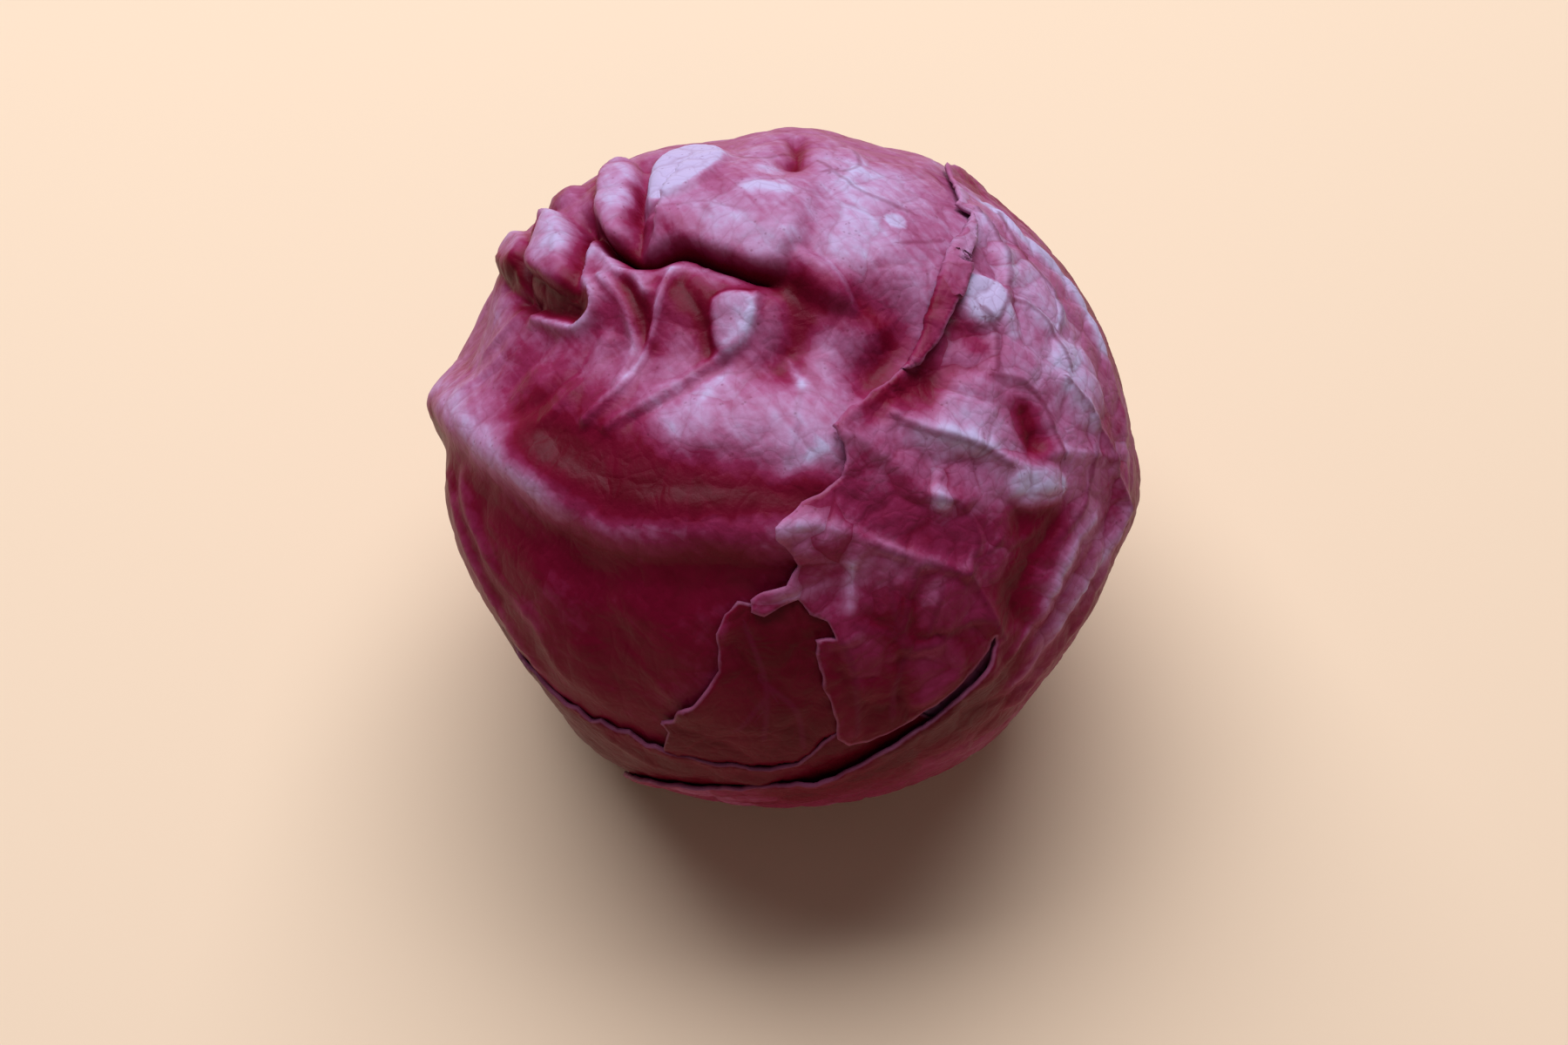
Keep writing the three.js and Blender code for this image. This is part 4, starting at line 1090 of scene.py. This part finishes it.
crown_leaf = Leaf(
    "crown_leaf",
    [
        seen([(62, 45), (57, 28), (53, 10), (49, -8), (43, -24), (35, -38)]),
        around([(24, -25), (20, -45), (16, -60)]),
        base(14, -154),
        around([(-154, -50), (-152, -22), (-151, -8), (-158, -6), (-174, -6), (168, -6)]),
        around([(148, -6), (124, 4)]),
    ],
    middle=seen([(-25, 20)]), at_margin=0, within=0,
    relief=together(crown_pads, crown_folds, crevice_step), lean=crown_lean,
)
# painted shade below the ridge, on the wall that faces down and forward away from the light; the ridge is
# lengthened past both ends of the leaf
LONG_RIDGE = [(-125, 14), (-105, 11)] + RIDGE + [(30, -14)]
SHADED_BELOW_RIDGE = [
    (-110, 0), (-75, -0.32), (-9, -0.38), (-4, -0.40), (-2.8, -0.33), (-0.8, -0.28), (0.4, -0.14),
    (2, -0.06), (4, -0.04), (7, -0.02), (10, 0),
]
crown_shades = steps(seen, (LONG_RIDGE, SHADED_BELOW_RIDGE, 18))
# painted highlights: the tops of raised panels that face up to the light, and small glints near the top,
# painted lighter
crown_panel_highlights = pads(
    seen,
    ([(-80, 36), (-82, 40), (-74, 40), (-67, 38), (-66, 34)], 0.7, 0.12),
    ([(-59, 35), (-65, 40), (-69, 44.5), (-58, 43), (-51, 39.5), (-48, 35.5), (-51, 33)], 0.7, 0.14),
    ([(-60, 55), (-52, 57), (-43, 51), (-38.5, 46), (-41, 44), (-48, 46), (-54, 50)], 1.2, 0.14),
    ([(-39, 51), (-46, 59), (-49, 67), (-34, 68), (-21, 60.5), (-22, 51), (-27, 47), (-33, 47)], 1.0, 0.34),
    ([(-13, 27), (-9, 28), (-5.5, 27), (-6, 22), (-8, 20), (-11, 18.5), (-13, 21)], 1, 0.3),
    ([(21, 58), (24, 58), (24, 56), (21, 56)], 0.8, 0.3),
    ([(23, 43.5), (27, 43.5), (27, 40.5), (23, 40.5)], 0.8, 0.26),
    ([(-9, 58), (-1, 58.5), (-2, 54.5), (-8, 54)], 3, 0.24),
    ([(-10, 50.5), (1, 49), (0, 46), (-9, 47)], 3, 0.24),
)
# the crown's own crimson and bloom, with painted shade in the crevice, under the lumps and in the dents, and
# painted highlights along the crests
crown_tints_and_shade = folds(
    seen,
    ([(-63, 32), (-57, 31.5), (-50, 29.5), (-42, 26.5)], 2.6, -0.42),
    ([(-70, 44), (-63, 38), (-60, 33)], 1.3, -0.34),
    ([(-47, 38), (-44, 33), (-42, 29)], 1.6, -0.34),
    ([(-82, 33.5), (-74, 33), (-64, 32)], 2.2, -0.44),
    ([(-49, 42), (-43, 40.6), (-36, 38.6), (-33, 38)], 1.7, -0.42),
    ([(-72, 56), (-57, 51), (-51, 45)], 1.5, -0.36),
    ([(-36, 42), (-39, 47), (-44, 52)], 0.7, -0.3),
    ([(-73, 48)], 2.4, -0.3),
    ([(-60, 27), (-50, 26), (-42, 25)], 2.2, -0.45),
    (CREVICE, 1.7, -0.42),
    ([(-31, 42), (-26, 40.5), (-20, 39.4), (-12, 36.8), (-4, 33.2)], 2.2, -0.22),
    ([(-30, 48), (-22, 45), (-14, 41), (-4, 37)], 4, 0.18),
    ([(-10, 62), (20, 52)], 16, 0.13),
    ([(-50, 14), (-38, 8)], 6, -0.1),
    ([(-26, 32), (-18, 33), (-8, 30)], 1.1, 0.16),
    ([(-13, 28), (-5, 28.5)], 0.8, -0.25),
    ([(-30, 29), (-27, 25), (-24, 19)], 2.0, -0.42),
    ([(-20, 30), (-16, 26), (-14, 22), (-13, 18)], 2.0, -0.42),
    ([(-22, 32), (-23, 26), (-24.5, 19), (-27, 13)], 0.6, 0.3),
    ([(-42, 37), (-38, 35), (-33, 32), (-29, 31), (-26, 28)], 1, 0.3),
    ([(-31, 31)], 1, -0.3),
    ([(-44, 38), (-42, 32), (-37, 27), (-40, 22.5), (-50, 24)], 0.9, 0.3),
    ([(3, 29), (3, 22), (1, 15)], 2.8, -0.34),
    ([(8, 27), (16, 24), (19, 20), (15, 13)], 3.6, -0.34),
    ([(9, 31), (12, 26)], 1.2, 0.1),
    ([(-42, 27), (-22, 27), (-8, 26)], 5.5, -0.15),
    ([(1, 17), (3, 12)], 1, 0.35),
    ([(-10, 14), (-13, 10)], 1.4, 0.2),
    ([(-70, 6), (-56, 1), (-46, -3.5), (-36, -8)], 3.4, 0.18),
    ([(-40, 10), (-31, 8), (-23, 4)], 4, -0.18),
    ([(-5, 28), (-6, 22), (-8, 19), (-12, 17)], 0.6, 0.26),
    ([(-37, 31), (-31, 27), (-28, 22), (-27, 18)], 0.8, 0.24),
    ([(-16, 6), (-6, 7), (4, 5)], 5, 0.14),
    ([(-14, 4)], 4, 0.08),
    ([(-41, 3), (-35, 0), (-28, -4), (-18, -5.5), (-6, -6), (4, -6)], 4.0, -0.62),
    ([(-30, 3), (-22, 0), (-14, -2)], 3.4, -0.24),
    ([(-36, 2)], 3, -0.3),
    ([(-47, 8), (-44, 10)], 2.4, -0.26),
    ([(-55, 18), (-48, 13)], 3, -0.12),
    ([(-82, 12), (-70, 10.5), (-60, 7.5), (-52, 4), (-45, 0), (-38, -4)], 2.4, 0.2),
    ([(-34, -8), (-22, -10), (-12, -10)], 0.8, 0.1),
    ([(-10, -8.5), (-2, -8.5), (4, -9)], 1.6, 0.26),
    ([(0, -2), (6, 2)], 1.5, 0.32),
    ([(28, 54), (20, 48)], 7, 0.18),
    ([(8, 70), (6, 64), (4, 60)], 1.8, -0.4),
    ([(12, 36), (20, 36), (25, 32), (26, 28)], 5, 0.12),
    ([(-66, -2), (-62, -8), (-57, -18), (-50, -32)], 1.2, 0.12),
    ([(-60, -3), (-57, -8), (-51, -17), (-44, -25)], 1.2, 0.12),
)
CROWN_VEINS = [
    [(12, 60), (20, 49), (30, 44)],
    [(30, 66), (24, 58), (12, 56)],
    [(24, 37), (34, 38)],
    [(4, 66), (-8, 62), (-20, 64)],
]
CRUMPLED_WITHIN = 26.0  # degrees of the line below
CRUMPLED_ALONG = [(-70, 30), (-20, 30), (0, 26), (20, 22)]
crown_colours = together(crown_shades, crown_tints_and_shade, crown_panel_highlights)
crown_skin = leaf_paint(
    "crown_leaf_skin", cells=CROWN_CELLS, net_strength=0.35, streak_turn=-40, streaks=0.26,
    facets=0.08, vein_strength=0.4,
)
lay(
    crown_leaf, crown_skin, seed=3,
    tint=lambda directions: 0.66 + crown_colours(directions),
    net=[(CROWN_CELLS, 0.35), (2.8, 0.06)], veins=CROWN_VEINS,
    crumpled=(seen(CRUMPLED_ALONG), CRUMPLED_WITHIN),
)


# Stalk and heart. The cut stalk that the head stands on, 30 mm thick, ringed by the scars
# of the leaves trimmed off it, in one piece with the dense heart that the leaves close round.
HEART_INSET = 14.0  # mm below the outside of the head
STALK_RADIUS = 15.0
SIDES = 120
SCARS = 5
SCAR_DEPTH = 0.035  # of the radius, each way
SCARRED_HEIGHT = 8.0
profile = [
    (6, 0), (STALK_RADIUS - 1.2, 0), (STALK_RADIUS - 0.3, 0.7), (STALK_RADIUS, 3), (STALK_RADIUS - 0.5, 6),
]
for latitude in range(-76, 90, 4):  # the heart, ring by ring
    angle = math.radians(latitude)
    height = HEAD_HALF_HEIGHT + (HEAD_HALF_HEIGHT - HEART_INSET) * math.sin(angle)
    profile.append(((HEAD_RADIUS - HEART_INSET) * math.cos(angle), height))
core = bmesh.new()
rings = []
for radius, height in profile:
    depth = SCAR_DEPTH * (height < SCARRED_HEIGHT)
    ring = []
    for i in range(SIDES):
        turn = 2 * math.pi * i / SIDES
        across = radius * (1 - depth * (1 + math.cos(SCARS * turn + height)))
        x, y = across * math.sin(turn), -across * math.cos(turn)
        ring.append(core.verts.new((x / 1000, y / 1000, height / 1000)))
    rings.append(ring)
foot = core.verts.new((0, 0, 0))
top = core.verts.new((0, 0, (2 * HEAD_HALF_HEIGHT - HEART_INSET) / 1000))
for i in range(SIDES):
    after = (i + 1) % SIDES
    core.faces.new((foot, rings[0][after], rings[0][i]))
    core.faces.new((top, rings[-1][i], rings[-1][after]))
    for low, high in zip(rings[:-1], rings[1:]):
        core.faces.new((low[i], low[after], high[after], high[i]))
heart_mesh = bpy.data.meshes.new("stalk_and_heart")
core.to_mesh(heart_mesh)
core.free()
heart_mesh.shade_smooth()
heart = bpy.data.objects.new("stalk_and_heart_flesh", heart_mesh)
scene.collection.objects.link(heart)
flesh = bpy.data.materials.new("stalk_flesh")
flesh.use_nodes = True
flesh_tree = flesh.node_tree
flesh_shader = flesh_tree.nodes["Principled BSDF"]
flesh_place = node(flesh_tree, "ShaderNodeTexCoord").outputs["Object"]
height_above = node(flesh_tree, "ShaderNodeSeparateXYZ", {0: flesh_place}).outputs["Z"]
mottles = noise(flesh_tree, flesh_place, 0.006, 4.0)
mottled = math_node(flesh_tree, "MULTIPLY_ADD", mottles, 0.006, height_above)
FLESH = [(0.15, (0.62, 0.55, 0.42)), (0.3, (0.42, 0.22, 0.27)), (0.6, (0.16, 0.01, 0.05))]
flesh_colour = ramp(flesh_tree, math_node(flesh_tree, "MULTIPLY", mottled, 60.0), FLESH)
flesh_tree.links.new(flesh_colour, flesh_shader.inputs["Base Color"])
flesh_shader.inputs["Roughness"].default_value = 0.6
heart_mesh.materials.append(flesh)
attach(heart, "root")
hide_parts("stalk_and_heart")
